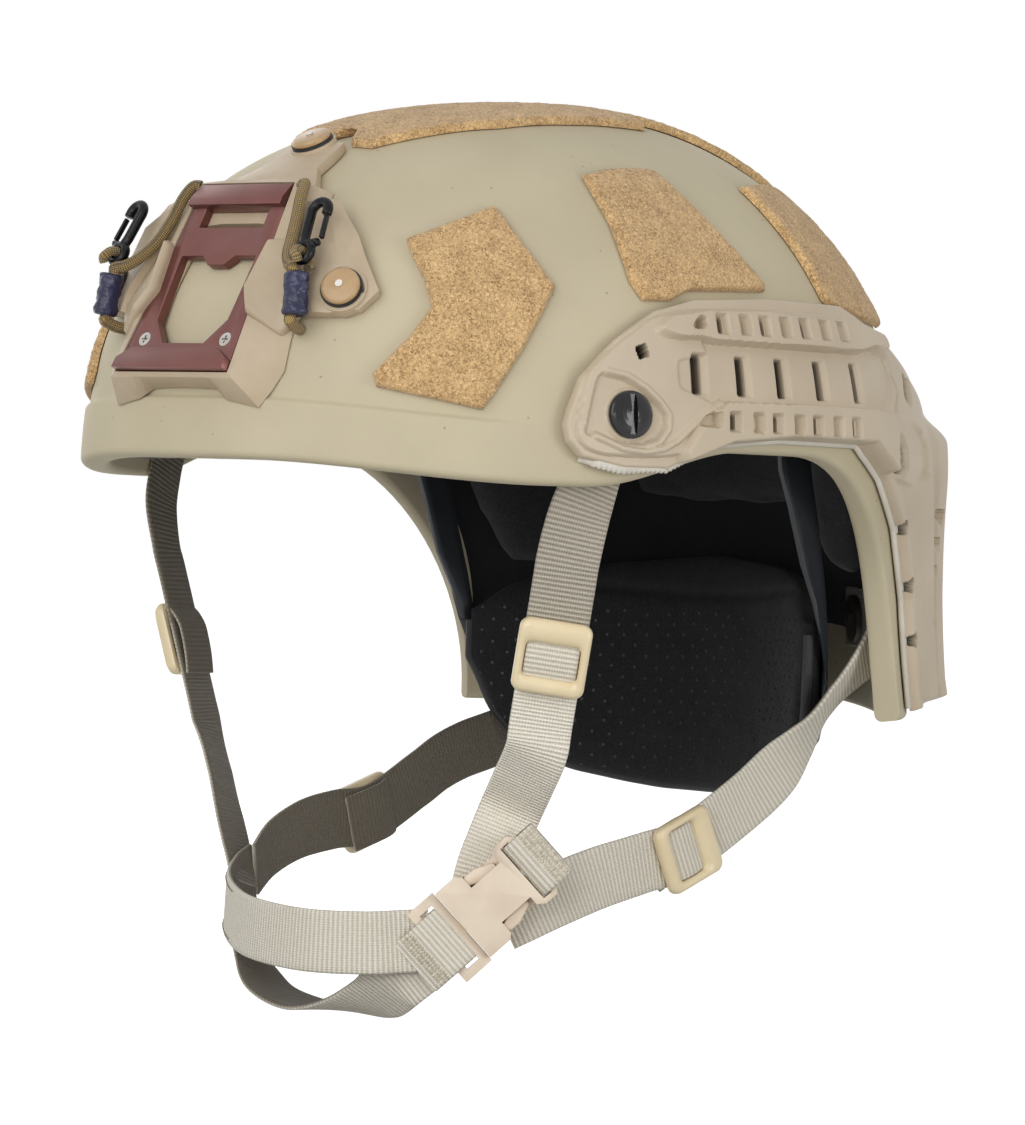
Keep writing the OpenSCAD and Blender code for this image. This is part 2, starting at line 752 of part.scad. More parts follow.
// Rows of the top lug, as [x, distance behind the nose, thickness]
shroud_lug = [
    [[-9, 55.5, 3], [0, 55.5, 3.4], [9, 55.5, 3]],
    [[-12, 50, 3.6], [0, 50, 4], [12, 50, 3.6]],
    [[-12.6, 42, 3.6], [0, 42, 4.4], [12.6, 42, 3.6]],
    [[-20, 35, 4.5], [0, 35, 6], [20, 35, 4.5]],
    [[-23, 30.5, 4.5], [0, 30.5, 6], [23, 30.5, 4.5]]
];
washer_thk = 0.8;
arm_seat = 4.9;
lug_seat = 4.5;

module shroud_base() {
    color("#a5937a")
        difference() {
            union() {
                shroud_frame();
                for (s = [-1, 1])
                    sided(s) {
                        skin_relief(shroud_arm, 8, 4, 0.5);
                        on_skin(shroud_side[0], shroud_side[1], 0.8)
                            cylinder(h = arm_seat - 0.8, r = screw_head_d/2 + 1.6);
                    }
                let (g = refine(shroud_lug, 6, 4))
                    slab(
                        [for (row = g) [for (p = row) over(p[0], nose + p[1], p[2])]],
                        [for (row = g) [for (p = row) over(p[0], nose + p[1], 0.4)]]
                    );
                on_skin(0, shroud_top_level, 0.9)
                    cylinder(h = lug_seat - 0.9, r = screw_head_d/2 + 1.2);
            }
            for (s = [-1, 1]) {
                on_skin(s*shroud_side[0], shroud_side[1], arm_seat)
                    cylinder(h = 8, r = screw_head_d/2 + 1.2);
                on_skin(s*shroud_side[0], shroud_side[1], -2)
                    cylinder(h = 12, r = shank_d/2 + hole_gap);
                in_plate(seat_n - 4)
                    translate([s*insert_screw_x, insert_screw_v, 0])
                        cylinder(h = 6, r = 1.5);
            }
            on_skin(0, shroud_top_level, lug_seat)
                cylinder(h = 8, r = screw_head_d/2 + 1);
            on_skin(0, shroud_top_level, -2)
                cylinder(h = 12, r = shank_d/2 + hole_gap);
            for (s = [-1, 1])
                sided(s)
                    place(lanyard[0], lanyard[1] - lanyard[0], [0, 0, 1])
                        rotate([-90, 0, 0])
                            translate([0, 0, -0.6])
                                cylinder(h = 5, r = cord_d/2 + gap);
        }
}

screw_tail = 2.2;
insert_screw_x = 17.7;
insert_screw_v = 11;
slot_v = [49.4, 56];
tongue_v = 36.5;
window_v = 9.6;

module shroud_insert() {
    hw = plate_w/2;
    tw = plate_top_w/2;
    ww = window_w/2;
    color("#7b4a44")
        in_plate(seat_n + 0.05)
            difference() {
                union() {
                    linear_extrude(plate_thk)
                        polygon([[-hw, 0], [hw, 0], [tw, plate_len], [tw, plate_len + hood_len],
                            [-tw, plate_len + hood_len], [-tw, plate_len]]);
                    translate([0, 0, plate_thk - 0.01])
                        linear_extrude(bar_proud)
                            polygon([[-hw, 0], [hw, 0], [hw - 3.5*plate_side, bar_len*0.5],
                                [hw - 6, bar_len], [6 - hw, bar_len], [3.5*plate_side - hw, bar_len*0.5]]);
                    translate([-tw, plate_len, plate_thk - 0.01])
                        rotate([90, 0, 90])
                            linear_extrude(plate_top_w)
                                polygon([[0, 0], [hood_len, 0], [hood_len, 0.6], [2.5, bar_proud],
                                    [0, bar_proud]]);
                }
                translate([0, 0, -1])
                    linear_extrude(plate_thk + 2)
                        polygon([[-9, window_v], [9, window_v], [ww - 1, window_v + 8],
                            [ww, window_v + window_len], [7, window_v + window_len],
                            [3.5, tongue_v], [-3.5, tongue_v], [-7, window_v + window_len],
                            [-ww, window_v + window_len], [1 - ww, window_v + 8]]);
                translate([0, 0, -1])
                    linear_extrude(plate_thk + 2)
                        polygon([[-14, slot_v[0]], [14, slot_v[0]], [14, slot_v[1]], [-14, slot_v[1]]]);
                for (s = [-1, 1])
                    translate([s*insert_screw_x, insert_screw_v, 0]) {
                        translate([0, 0, -1])
                            cylinder(h = plate_thk + 2, r = 1.6);
                        translate([0, 0, plate_thk - 1.6])
                            cylinder(h = 3, r = insert_screw_d/2 + 0.1);
                    }
            }
}

module insert_screws() {
    color("#c9c6c0")
        in_plate(seat_n)
            for (s = [-1, 1])
                translate([s*insert_screw_x, insert_screw_v, 0])
                    difference() {
                        union() {
                            translate([0, 0, plate_thk - 1.5])
                                cylinder(h = 1.4, r = insert_screw_d/2);
                            translate([0, 0, -screw_tail])
                                cylinder(h = plate_thk + screw_tail - 1.2, r = 1.4);
                        }
                        for (t = [0, 90])
                            rotate([0, 0, t])
                                translate([-1.3, -0.3, plate_thk - 0.9])
                                    cube([2.6, 0.6, 2]);
                    }
}

// Places of the three round shroud screws: angle, level and seat over the shell
shroud_screw_places = [[-shroud_side[0], shroud_side[1], arm_seat],
    [shroud_side[0], shroud_side[1], arm_seat], [0, shroud_top_level, lug_seat]];

module shroud_screws() {
    color("#b08a5a")
        for (p = shroud_screw_places)
            on_skin(p[0], p[1], p[2] + washer_thk + 0.05) {
                rotate_extrude()
                    polygon(concat([[0, 0]], [for (i = [0:6])
                        [screw_head_d/2 - 1.2 + 1.2*cos(90*i/6), 0.8 + 1.2*sin(90*i/6)]], [[0, 2.4]]));
                cylinder(h = 0.81, r = screw_head_d/2);
                translate([0, 0, -p[2] - wall - washer_thk - inner_gap - nut_thk])
                    cylinder(h = p[2] + wall + washer_thk + inner_gap + nut_thk + 0.5, r = shank_d/2);
            }
}

module shroud_washers() {
    color("#18181c")
        for (p = shroud_screw_places)
            on_skin(p[0], p[1], p[2] + 0.02)
                difference() {
                    cylinder(h = washer_thk, r = screw_head_d/2 + 0.5);
                    translate([0, 0, -1])
                        cylinder(h = 3, r = shank_d/2 + hole_gap);
                }
}

module shroud_nuts() {
    color("#3a3835")
        for (p = shroud_screw_places)
            on_skin(p[0], p[1], -wall - inner_gap - nut_thk)
                difference() {
                    cylinder(h = nut_thk, r = nut_d/2 - 1.5);
                    translate([0, 0, -1])
                        cylinder(h = nut_thk + 2, r = shank_d/2 + 0.05);
                }
}

// Point at share u of a smooth curve through a list of points
function curve(p, u) =
    let (
        s = clamp(u)*(len(p) - 1),
        k = min(floor(s), len(p) - 2),
        t = s - k,
        a = p[max(k - 1, 0)],
        b = p[k],
        c = p[k + 1],
        d = p[min(k + 2, len(p) - 1)]
    )
    0.5*(2*b + (c - a)*t + (2*a - 5*b + 4*c - d)*t*t + (3*b - a - 3*c + d)*t*t*t);

// Direction of that curve
function along(p, u) = unit(curve(p, min(1, u + 0.004)) - curve(p, max(0, u - 0.004)));

// Flat webbing through stations of [point, direction that its face looks in]
module webbing(stations, n, wide = web_w, thk = web_thk) {
    points = [for (s = stations) s[0]];
    faces_to = [for (s = stations) s[1]];
    rings = [for (i = [0:n])
        let (
            c = curve(points, i/n),
            t = along(points, i/n),
            w = unit(cross(curve(faces_to, i/n), t))*wide/2,
            h = unit(cross(t, w))*thk/2
        ) each [c + w + h, c + w - h, c - w - h, c - w + h]];
    polyhedron(points = rings, faces = tube_faces(n + 1, 4), convexity = 6);
}

// Round cord through a list of points
module cord(points, r, n, sides = 8) {
    rings = [for (i = [0:n])
        let (
            c = curve(points, i/n),
            t = along(points, i/n),
            w = unit(cross([0.9, 0.1, 0.3], t)),
            h = cross(t, w)
        ) each [for (j = [0:sides - 1]) c + r*(cos(360*j/sides)*w - sin(360*j/sides)*h)]];
    polyhedron(points = rings, faces = tube_faces(n + 1, sides), convexity = 6);
}

// Moves children to a point, their Y axis along y and their Z axis towards z
module place(o, y, z) {
    b = unit(y);
    a = unit(cross(b, z));
    c = cross(a, b);
    multmatrix([
        [a[0], b[0], c[0], o[0]],
        [a[1], b[1], c[1], o[1]],
        [a[2], b[2], c[2], o[2]],
        [0, 0, 0, 1]
    ])
        children();
}

// World position of a point given in such a frame
function placed(o, y, z, p) =
    let (
        b = unit(y),
        a = unit(cross(b, z)),
        c = cross(a, b)
    )
    o + p[0]*a + p[1]*b + p[2]*c;

// Share of a cushion's thickness at share u of its length: drawn in at both ends
function crown(u) = 0.34 + 0.66*sqrt(1 - pow(abs(2*u - 1), 4));

// Uneven steps from 0 to 1 that crowd together near the drawn-in ends
cushion_steps = [0, 0.035, 0.1, 0.22, 0.36, 0.5, 0.64, 0.78, 0.9, 0.965, 1];
liner_thk = 1.4;
liner_off = wall + inner_gap + 0.2;
pad_off = liner_off + liner_thk + gap;
function share_point(rows, u, v) =
    let (
        s = u*(len(rows) - 1),
        i = min(floor(s), len(rows) - 2),
        r = mix(rows[i], rows[i + 1], s - i),
        t = v*(len(r) - 1),
        j = min(floor(t), len(r) - 2)
    )
    mix(r[j], r[j + 1], t - j);

// A cushion against the shell's inside: rows of [angle, level], from the top down
module pad(rows, thk = pad_thk) {
    color("#201f26")
        slab(
            [for (u = cushion_steps) [for (v = cushion_steps)
                let (p = share_point(rows, u, v)) at(p[0], p[1], -pad_off)]],
            [for (u = cushion_steps) [for (v = cushion_steps)
                let (p = share_point(rows, u, v)) at(p[0], p[1], -pad_off - thk*crown(u)*crown(v))]]
        );
}

module right_pad(rows) {
    sided(-1)
        pad(rows);
}

front_pad = [[[-36, 59], [0, 62], [36, 59]], [[-41, 28], [0, 30], [41, 28]], [[-41, 2], [0, 2.6], [41, 2]]];
side_pad = [[[69, 62], [100, 62]], [[69, 38], [101, 38]], [[70, 15], [99, 15]]];
// Pivot of the fit yoke's arm, and the angle behind which the rear side cushion starts
pivot = [80.5, tail - 94, 20];
arm_back = 90 + atan((pivot[1] + 13)/80);
rear_side_pad = [[[arm_back - 1.5, 62], [144, 62]], [[arm_back - 1.5, 24], [146, 24]],
    [[arm_back + 1.5, -6], [147, -6]], [[arm_back + 9, -29], [147, -29]]];
rear_pad = [[[154, 60], [180, 62], [206, 60]], [[153, 26], [180, 26], [207, 26]],
    [[155, -8], [180, -10], [205, -8]]];

// Crown cushion, hanging under the dome
crown_pad_x = 44;
crown_pad_y = [widest_y - 49.8, widest_y + 54.2];

module crown_pad() {
    n = len(cushion_steps) - 1;
    color("#201f26")
        slab(
            [for (u = cushion_steps) [for (j = [n:-1:0]) let (v = cushion_steps[j])
                over(mix(-1, 1, v)*crown_pad_x, mix(crown_pad_y[0], crown_pad_y[1], u), -pad_off)]],
            [for (u = cushion_steps) [for (j = [n:-1:0]) let (v = cushion_steps[j])
                over(mix(-1, 1, v)*crown_pad_x, mix(crown_pad_y[0], crown_pad_y[1], u),
                    -pad_off - pad_thk*crown(u)*crown(v))]]
        );
}

// Hook patches that hold the cushions: [angle, level] on the walls, [x, y] under the crown
patch_places = [[-28, 34], [0, 40], [28, 34], [0, 16], [84, 40], [133, 42], [136, 8], [-84, 40],
    [-133, 42], [-136, 8], [170, 36], [190, 36], [180, 12]];
crown_patches = [[0, widest_y - 25.8], [0, widest_y + 32.2]];
patch_half = 9;

module hook_patches() {
    color("#2b2a30") {
        for (p = patch_places) {
            da = patch_half/norm(at(p[0], p[1], 0) - at(p[0] + 1, p[1], 0));
            skin_panel([for (k = [1, 0, -1]) [for (j = [-1, 0, 1])
                [p[0] + j*da*(k == 0 ? 1 : 0.72), p[1] + k*patch_half]]], 2, 2,
                -liner_off - liner_thk, -liner_off);
        }
        for (p = crown_patches)
            slab(
                [for (k = [-1, 0, 1]) [for (j = [1, 0, -1])
                    over(p[0] + j*patch_half, p[1] + k*patch_half, -liner_off)]],
                [for (k = [-1, 0, 1]) [for (j = [1, 0, -1])
                    over(p[0] + j*patch_half, p[1] + k*patch_half, -liner_off - liner_thk)]]
            );
    }
}

// Nape cushion: its middle surface bends round the neck, and its ends rise
nape_y = tail - 38;
nape_bend = 0.00694;
nape_up = 24;

function nape_mid(x, off) =
    let (n = unit([2*nape_bend*x, 1, 0])) [x, nape_y - nape_bend*x*x, 0] + off*n;
function nape_top(x) = -nape_up - 14*pow(abs(x)/nape_half, 2);
function nape_low(x) = -nape_down + 22*pow(abs(x)/nape_half, 2.2);

module nape_pad() {
    n = len(cushion_steps) - 1;
    side = [for (k = [0:16]) -cos(180*k/16)];
    grid = [for (s = [1, -1]) [for (u = cushion_steps) [for (c = side)
        let (
            x = c*nape_half*0.985,
            p = nape_mid(x, s*(nape_thk/2)*crown(u)*crown((c + 1)/2))
        )
        [p[0], p[1], mix(nape_top(x), nape_low(x), u)]]]];
    color("#1b1a20")
        slab([for (row = grid[0]) [for (j = [16:-1:0]) row[j]]],
            [for (row = grid[1]) [for (j = [16:-1:0]) row[j]]]);
}

// Fit yoke: behind the nape cushion, with an arm up each side to a pivot
pivot_r = 7.5;
pin_r = 2.5;
pin_gap = 0.09;
yoke_off = nape_thk/2 + gap + band_thk/2;
// Lower and upper edge of the yoke from the back to the arm, whose y is behind the pivot
yoke_back = [for (x = [0:9:72]) let (p = nape_mid(x, yoke_off - 1.4*ramp(x, 46, 74)))
    [[p[0], p[1], nape_low(x) + 4 + 5*ramp(x, 50, 72)],
     [p[0], p[1], nape_top(x) - 8 - 6*ramp(x, 30, 72)]]];
yoke_arm = [
    [[76.9, 23.6, -62], [79.2, 17, -47]],
    [[77.4, 22.6, -50], [80.1, 13.5, -38]],
    [[78.8, 18.6, -32], [80.5, 6.6, -26]],
    [[80.1, 13, -12], [80.5, 0.2, -9]],
    [[80.5, 8.4, 4], [80.5, -5, 3]],
    [[80.5, 6.8, 18], [80.5, -6.8, 18]],
    [[80.5, 4, 25], [80.5, -4, 25]]
];
yoke_line = concat(yoke_back, [for (row = yoke_arm) [for (p = row) [p[0], pivot[1] + p[1], p[2]]]]);
yoke_full = concat([for (i = [len(yoke_line) - 1:-1:1]) [for (p = yoke_line[i]) [-p[0], p[1], p[2]]]],
    yoke_line);

module cradle_yoke() {
    n = len(yoke_full);
    out = [for (j = [0:n - 1])
        let (
            a = yoke_full[max(0, j - 1)],
            b = yoke_full[min(n - 1, j + 1)]
        )
        unit(cross(b[0] + b[1] - a[0] - a[1], yoke_full[j][1] - yoke_full[j][0]))];
    color("#2a2b30")
        difference() {
            union() {
                slab(
                    [for (k = [4:-1:0]) [for (j = [0:n - 1])
                        mix(yoke_full[j][0], yoke_full[j][1], k/4) + out[j]*band_thk/2]],
                    [for (k = [4:-1:0]) [for (j = [0:n - 1])
                        mix(yoke_full[j][0], yoke_full[j][1], k/4) - out[j]*band_thk/2]]
                );
                for (s = [-1, 1])
                    translate([s*pivot[0], pivot[1], pivot[2]])
                        rotate([0, 90, 0])
                            cylinder(h = band_thk, r = pivot_r, center = true);
            }
            for (s = [-1, 1])
                translate([s*pivot[0], pivot[1], pivot[2]])
                    rotate([0, 90, 0])
                        cylinder(h = 12, r = pin_r + pin_gap, center = true);
        }
}

// Hangers on the shell's inside that carry the yoke's pivots
hanger_a = 90 + atan((pivot[1] + 2.12)/98);
hanger_x = at(hanger_a, pivot[2] + 1.5, -liner_off)[0] - 1.2;
boss_from = pivot[0] + band_thk/2 + gap;

module cradle_hangers() {
    color("#34343a")
        for (s = [-1, 1])
            sided(s)
                difference() {
                    union() {
                        skin_panel([[[hanger_a - 6, 32], [hanger_a + 6, 32]],
                            [[hanger_a - 6, 11], [hanger_a + 6, 11]]], 4, 4,
                            -liner_off - 2.2, -liner_off);
                        translate([boss_from, pivot[1], pivot[2]])
                            rotate([0, 90, 0])
                                cylinder(h = hanger_x - boss_from, r = 5.5);
                    }
                    translate([boss_from - 1, pivot[1], pivot[2]])
                        rotate([0, 90, 0])
                            cylinder(h = 8.2, r = pin_r + 0.02);
                }
}

module cradle_pins() {
    head_x = pivot[0] - band_thk/2 - gap;
    color("#c9793a")
        for (s = [-1, 1])
            sided(s)
                translate([head_x, pivot[1], pivot[2]])
                    rotate([0, 90, 0]) {
                        translate([0, 0, -1.8])
                            cylinder(h = 1.8, r = 5);
                        translate([0, 0, -0.5])
                            cylinder(h = boss_from + 7 - head_x + 0.5, r = pin_r);
                    }
}

// Dial behind the yoke: its axis runs along Y
dial_z = -79;
dial_y = nape_y + yoke_off + band_thk/2 + 0.1;
housing_r = 16.5;
housing_deep = 10.6;
housing_wall = 1.8;
wing = 9;
shaft_r = 4;

module at_dial(y) {
    translate([0, dial_y + y, dial_z])
        rotate([-90, 0, 0])
            children();
}

module dial_housing() {
    color("#1d1d22")
        at_dial(0)
            difference() {
                union() {
                    cylinder(h = housing_deep, r = housing_r);
                    translate([-housing_r - wing, -6, 2])
                        cube([2*(housing_r + wing), 12, 4.4]);
                }
                translate([0, 0, housing_wall])
                    cylinder(h = housing_deep - 2*housing_wall, r = housing_r - 2.5);
                translate([0, 0, housing_wall])
                    cylinder(h = housing_deep, r = shaft_r + pin_gap);
            }
}

module dial_knob() {
    color("#232328")
        at_dial(housing_deep + gap)
            difference() {
                union() {
                    cylinder(h = knob_deep, r = knob_d/2);
                    translate([0, 0, -housing_deep - gap + housing_wall + 0.4])
                        cylinder(h = housing_deep + gap - housing_wall, r = shaft_r);
                }
                for (i = [0:knob_flutes - 1])
                    rotate([0, 0, 360*i/knob_flutes])
                        translate([knob_d/2 + 0.9, 0, -1])
                            cylinder(h = knob_deep + 2, r = 1.9);
                translate([0, 0, knob_deep - 1.2])
                    cylinder(h = 2, r = knob_d/2 - 5);
            }
}

module dial_pinion() {
    high = housing_deep - 2*housing_wall - 1;
    color("#9a9aa0")
        at_dial(housing_wall + 0.5)
            difference() {
                union() {
                    cylinder(h = high, r = shaft_r + 2.4);
                    for (i = [0:pinion_teeth - 1])
                        rotate([0, 0, 360*i/pinion_teeth])
                            translate([shaft_r + 2, -0.9, 0])
                                cube([2.6, 1.8, high]);
                }
                translate([0, 0, -1])
                    cylinder(h = high + 2, r = shaft_r + 0.02);
            }
}

// Straps, on the wearer's left: stations of [point, direction that the face looks in]
strap_off = wall + inner_gap + web_thk/2;
facing = [0.70, -0.71, 0];
front_run = [[86, -61, -36], [75, -57, -75]];
front_slider = (front_run[0] + front_run[1])/2;
front_way = front_run[1] - front_run[0];
rear_run_left = [[68.3, 39, -101.5], [66.2, 16, -114.8], [65, 0, -119]];
rear_run_right = [[68, 33, -102], [66.5, 11, -110.6], [65, -7, -112.6]];
rear_facing = [0.995, -0.08, 0];

function wall_station(a, z, off = strap_off) =
    [at(a, z, -off), skin_normal(turned(a, z, a), z)];

front_strap = concat(
    [wall_station(rail_bolt[0], rail_bolt[1] + 10), wall_station(rail_bolt[0], rail_bolt[1]),
        wall_station(60.2, 6), wall_station(59, -3)],
    [[[92, -61.6, -14], [0.84, -0.54, 0]], [[88.8, -62, -26.2], facing], [front_run[0], facing],
        [front_run[1], facing], [[72.2, -56, -84.8], facing], [[62.3, -51.1, -94.5], facing],
        [[53.7, -47.1, -103], facing], [[52.7, -49.9, -110], facing], [[51.2, -53.4, -120], facing],
        [[50, -54.4, -127], facing]]
);
front_strap_right = concat([for (i = [0:8]) front_strap[i]],
    [[[66.5, -56.5, -96], facing], [[61, -57.4, -108], facing], [[55, -57, -123], facing]]);
rear_wall = [wall_station(rear_bolt[0] + 5.5, rear_bolt[1] + 0.4), wall_station(rear_bolt[0], rear_bolt[1]),
    wall_station(148, -43), wall_station(141, -46.5, strap_off + 0.2), wall_station(135, -52.5, strap_off + 0.6)];
rear_strap_left = concat(rear_wall,
    [[[81.5, 72.5, -67], [0.93, 0.3, 0]], [[76.5, 64, -81.5], [0.97, 0.05, -0.1]],
        [[71.8, 52.5, -92], rear_facing]],
    [for (p = rear_run_left) [p, rear_facing]],
    [[[63.2, -18.6, -123.6], [0.84, -0.54, 0]], [[60.4, -34.2, -129], facing],
        [[56.2, -44.6, -134], facing], [[53, -48.8, -136.6], facing]]
);
rear_strap_right = concat(rear_wall,
    [[[81.5, 72.5, -67], [0.93, 0.3, 0]], [[76.5, 62, -81.5], [0.97, 0.05, -0.1]],
        [[71.8, 49, -92.5], rear_facing]],
    [for (p = rear_run_right) [p, rear_facing]],
    [[[62.5, -24, -115.5], [0.85, -0.5, 0]], [[58.6, -37.5, -120], facing], [[53.6, -49, -126.5], facing]]
);

module strap_front(s) {
    color("#a99a7a")
        sided(s)
            difference() {
                webbing(s > 0 ? front_strap : front_strap_right, 32);
                on_skin(rail_bolt[0], rail_bolt[1], -wall - 6)
                    cylinder(h = 6, r = shank_d/2 + hole_gap);
            }
}

module strap_rear(s) {
    color("#a99a7a")
        sided(s)
            difference() {
                webbing(s > 0 ? rear_strap_left : rear_strap_right, 36);
                on_skin(rear_bolt[0], rear_bolt[1], -wall - 6)
                    cylinder(h = 6, r = shank_d/2 + hole_gap);
            }
}

// Middle of the buckle, its direction, and the plug's frame behind it
buckle_at = [59.4, -56.3, -127.6];
buckle_axis = [0.514, 0.511, 0.689];
plug_y = -buckle_len/2 - 0.4;
plug_len = 10;
plug_end = plug_y - plug_len - gap;

// Chin bands, from the right junction round the chin to the buckle's plug
chin_upper = [[[-51.5, -52.5, -129], [-0.6, -0.8, 0]], [[-42, -69, -136.5], [-0.6, -0.8, 0]],
    [[-29, -81, -140], [-0.45, -0.89, 0]], [[-10, -91.5, -142.5], [-0.2, -0.98, 0]],
    [[16, -95.5, -144], [0.25, -0.97, 0]], [[33, -87, -144], [0.5, -0.86, 0]],
    [[39.4, -77.4, -143.3], [0.68, -0.73, 0]], [[46.5, -70.4, -142.5], facing]];
chin_lower = [[[-40, -67, -143], [-0.6, -0.75, -0.2]], [[-33, -72.5, -151], [-0.5, -0.75, -0.35]],
    [[-21, -77, -159], [-0.3, -0.8, -0.5]], [[-6, -80, -164.5], [-0.05, -0.85, -0.5]],
    [[9, -80, -166], [0.1, -0.86, -0.5]], [[24, -77, -163.5], [0.3, -0.85, -0.4]],
    [[35.6, -75, -157], [0.6, -0.78, -0.1]], [placed(buckle_at, buckle_axis, facing, [0, plug_end - 5, -1.25]), facing],
    [placed(buckle_at, buckle_axis, facing, [0, plug_end, -1.25]), facing]];

module chin_band() {
    color("#a99a7a")
        difference() {
            webbing(chin_upper, 28);
            place(buckle_at, buckle_axis, facing)
                translate([-web_w, plug_end, -web_w])
                    cube(2*web_w);
        }
}

module chin_band_lower() {
    color("#a99a7a")
        webbing(chin_lower, 24);
}

// A strap slider: X across the webbing, Y along it, Z out of its face
slider_side_gap = 0.9;
slider_face_gap = 0.6;
slider_bar = 7;

module slider_body() {
    inner = web_w/2 + slider_side_gap;
    face = web_thk/2 + slider_face_gap;
    difference() {
        union() {
            translate([-slider_w/2, -slider_len/2, face])
                cube([slider_w, slider_len, slider_thk]);
            for (s = [-1, 1])
                translate([s > 0 ? inner : -slider_w/2, -slider_bar, -face - 1.8])
                    cube([slider_w/2 - inner, 2*slider_bar, 2*face + 1.81]);
            translate([-slider_w/2, -slider_bar/2, -face - 1.8])
                cube([slider_w, slider_bar, 1.8]);
        }
        translate([-web_w/2 + 1.6, -slider_len/2 + 6.6, 0])
            cube([web_w - 3.2, slider_len - 13.2, 10]);
    }
}

module slider_front(s) {
    color("#cbb795")
        sided(s)
            place(front_slider, front_way, facing)
                slider_body();
}

module slider_rear(s) {
    run = s > 0 ? rear_run_left : rear_run_right;
    color("#cbb795")
        sided(s)
            place(run[1], run[2] - run[0], rear_facing)
                slider_body();
}

// Buckle: X across it, Y from the plug to the socket's loop end, Z out of its face
socket_half = buckle_len/2;
prong_w = 3.2;
prong_len = 19.5;
prong_thk = 4.8;
cavity_gap = 0.25;

module in_buckle() {
    place(buckle_at, buckle_axis, facing)
        children();
}

module buckle_socket() {
    hw = buckle_w/2;
    cavity_x = hw - 1.6;
    cavity_z = prong_thk/2 + cavity_gap;
    color("#b9a18c")
        in_buckle()
            difference() {
                translate([0, 0, -buckle_thk/2])
                    linear_extrude(buckle_thk)
                        polygon([[-hw, -socket_half], [hw, -socket_half], [hw, -7], [hw - 3, -3.6],
                            [hw - 3, 5.6], [hw - 1, 8.4], [hw - 1, socket_half - 2.4], [hw - 3.4, socket_half],
                            [3.4 - hw, socket_half], [1 - hw, socket_half - 2.4], [1 - hw, 8.4],
                            [3 - hw, 5.6], [3 - hw, -3.6], [-hw, -7]]);
                translate([-cavity_x, -socket_half - 1, -cavity_z])
                    cube([2*cavity_x, socket_half + 8, 2*cavity_z]);
                for (s = [-1, 1])
                    translate([s > 0 ? hw - 5.6 : -hw - 1, -5.4, -0.7])
                        cube([6.6, 11.4, buckle_thk]);
                translate([-web_w/2 - 0.4, socket_half - 6.2, -buckle_thk])
                    cube([web_w + 0.8, 3, 2*buckle_thk]);
            }
}

// The plug's frame holds the chin bands; a middle tongue guides it in the socket
plug_w = 27;

module buckle_plug() {
    bar = 2.6;
    inner = plug_w/2 - 2.8;
    color("#b9a18c")
        in_buckle()
            difference() {
                union() {
                    translate([-plug_w/2, plug_y - plug_len, -2.6])
                        cube([plug_w, plug_len, 5.2]);
                    translate([-1.8, plug_y - 0.01, -prong_thk/2])
                        cube([3.6, 19, prong_thk]);
                }
                translate([-inner, plug_y - plug_len + bar, -4])
                    cube([2*inner, plug_len - 2*bar, 8]);
            }
}

prong_x = buckle_w/2 - 1.6 - cavity_gap;
prong_root = plug_y + 0.4;

module buckle_prong(s) {
    color("#b9a18c")
        in_buckle()
            translate([0, prong_root, -prong_thk/2])
                linear_extrude(prong_thk)
                    polygon([for (p = [[prong_x - prong_w, 0], [prong_x - 0.6, 0], [prong_x - 0.6, 9],
                        [prong_x, 10], [prong_x, 13.6], [prong_x - 2.4, prong_len],
                        [prong_x - 4.6, prong_len], [prong_x - 4.6, 13], [prong_x - prong_w, 10]])
                        [s*p[0], p[1]]]);
}

// Short doubled webbing through the socket's bar, sewn to the two straps behind
module buckle_loop() {
    color("#a99a7a")
        in_buckle() {
            translate([-web_w/2, socket_half - 5.9, -buckle_thk/2 - 0.3 - web_thk])
                cube([web_w, 22, web_thk]);
            translate([-web_w/2, socket_half - 5.9, -buckle_thk/2 - 0.31])
                cube([web_w, web_thk, buckle_thk + 0.62]);
            translate([-web_w/2, socket_half - 5.9, buckle_thk/2 + 0.3])
                cube([web_w, 8.4, web_thk]);
            translate([-web_w/2, socket_half + 0.9, -buckle_thk/2 - 0.31])
                cube([web_w, web_thk, buckle_thk + 0.62]);
        }
}

// Lanyards, on the wearer's left
sleeve_top = [40.6, nose + 6.6, 55.2];
sleeve_up = [-0.11, 0.12, 0.987];
sleeve_out = [0.42, -0.9, 0.16];
strand_side = 1.5;
lanyard = concat(
    [for (p = [[22.4, 25.2, 82.6], [24.6, 23.8, 82.4], [26, 21, 78.4], [27.4, 18.2, 72],
        [29.6, 14.2, 65], [32.2, 10.6, 60.6], [35.7, 7.9, 57.8]]) p + [0, nose, 0]],
    [for (t = [1.8, 0.2, -sleeve_len/2, -sleeve_len - 0.2, -sleeve_len - 1.4])
        placed(sleeve_top, sleeve_up, sleeve_out, [-strand_side, t, 0])],
    [[39.6, nose + 7.6, 39.2], [38.4, nose + 10.6, 38.6]]
);
clip_eye = [40.6, nose + 8.8, 61.2];
clip_up = [-0.18, 0.43, 0.88];
clip_out = [0.1, -0.87, 0.47];
eye_wire = 1.5;
eye_r = 1.9;
loop_cord_d = 3;

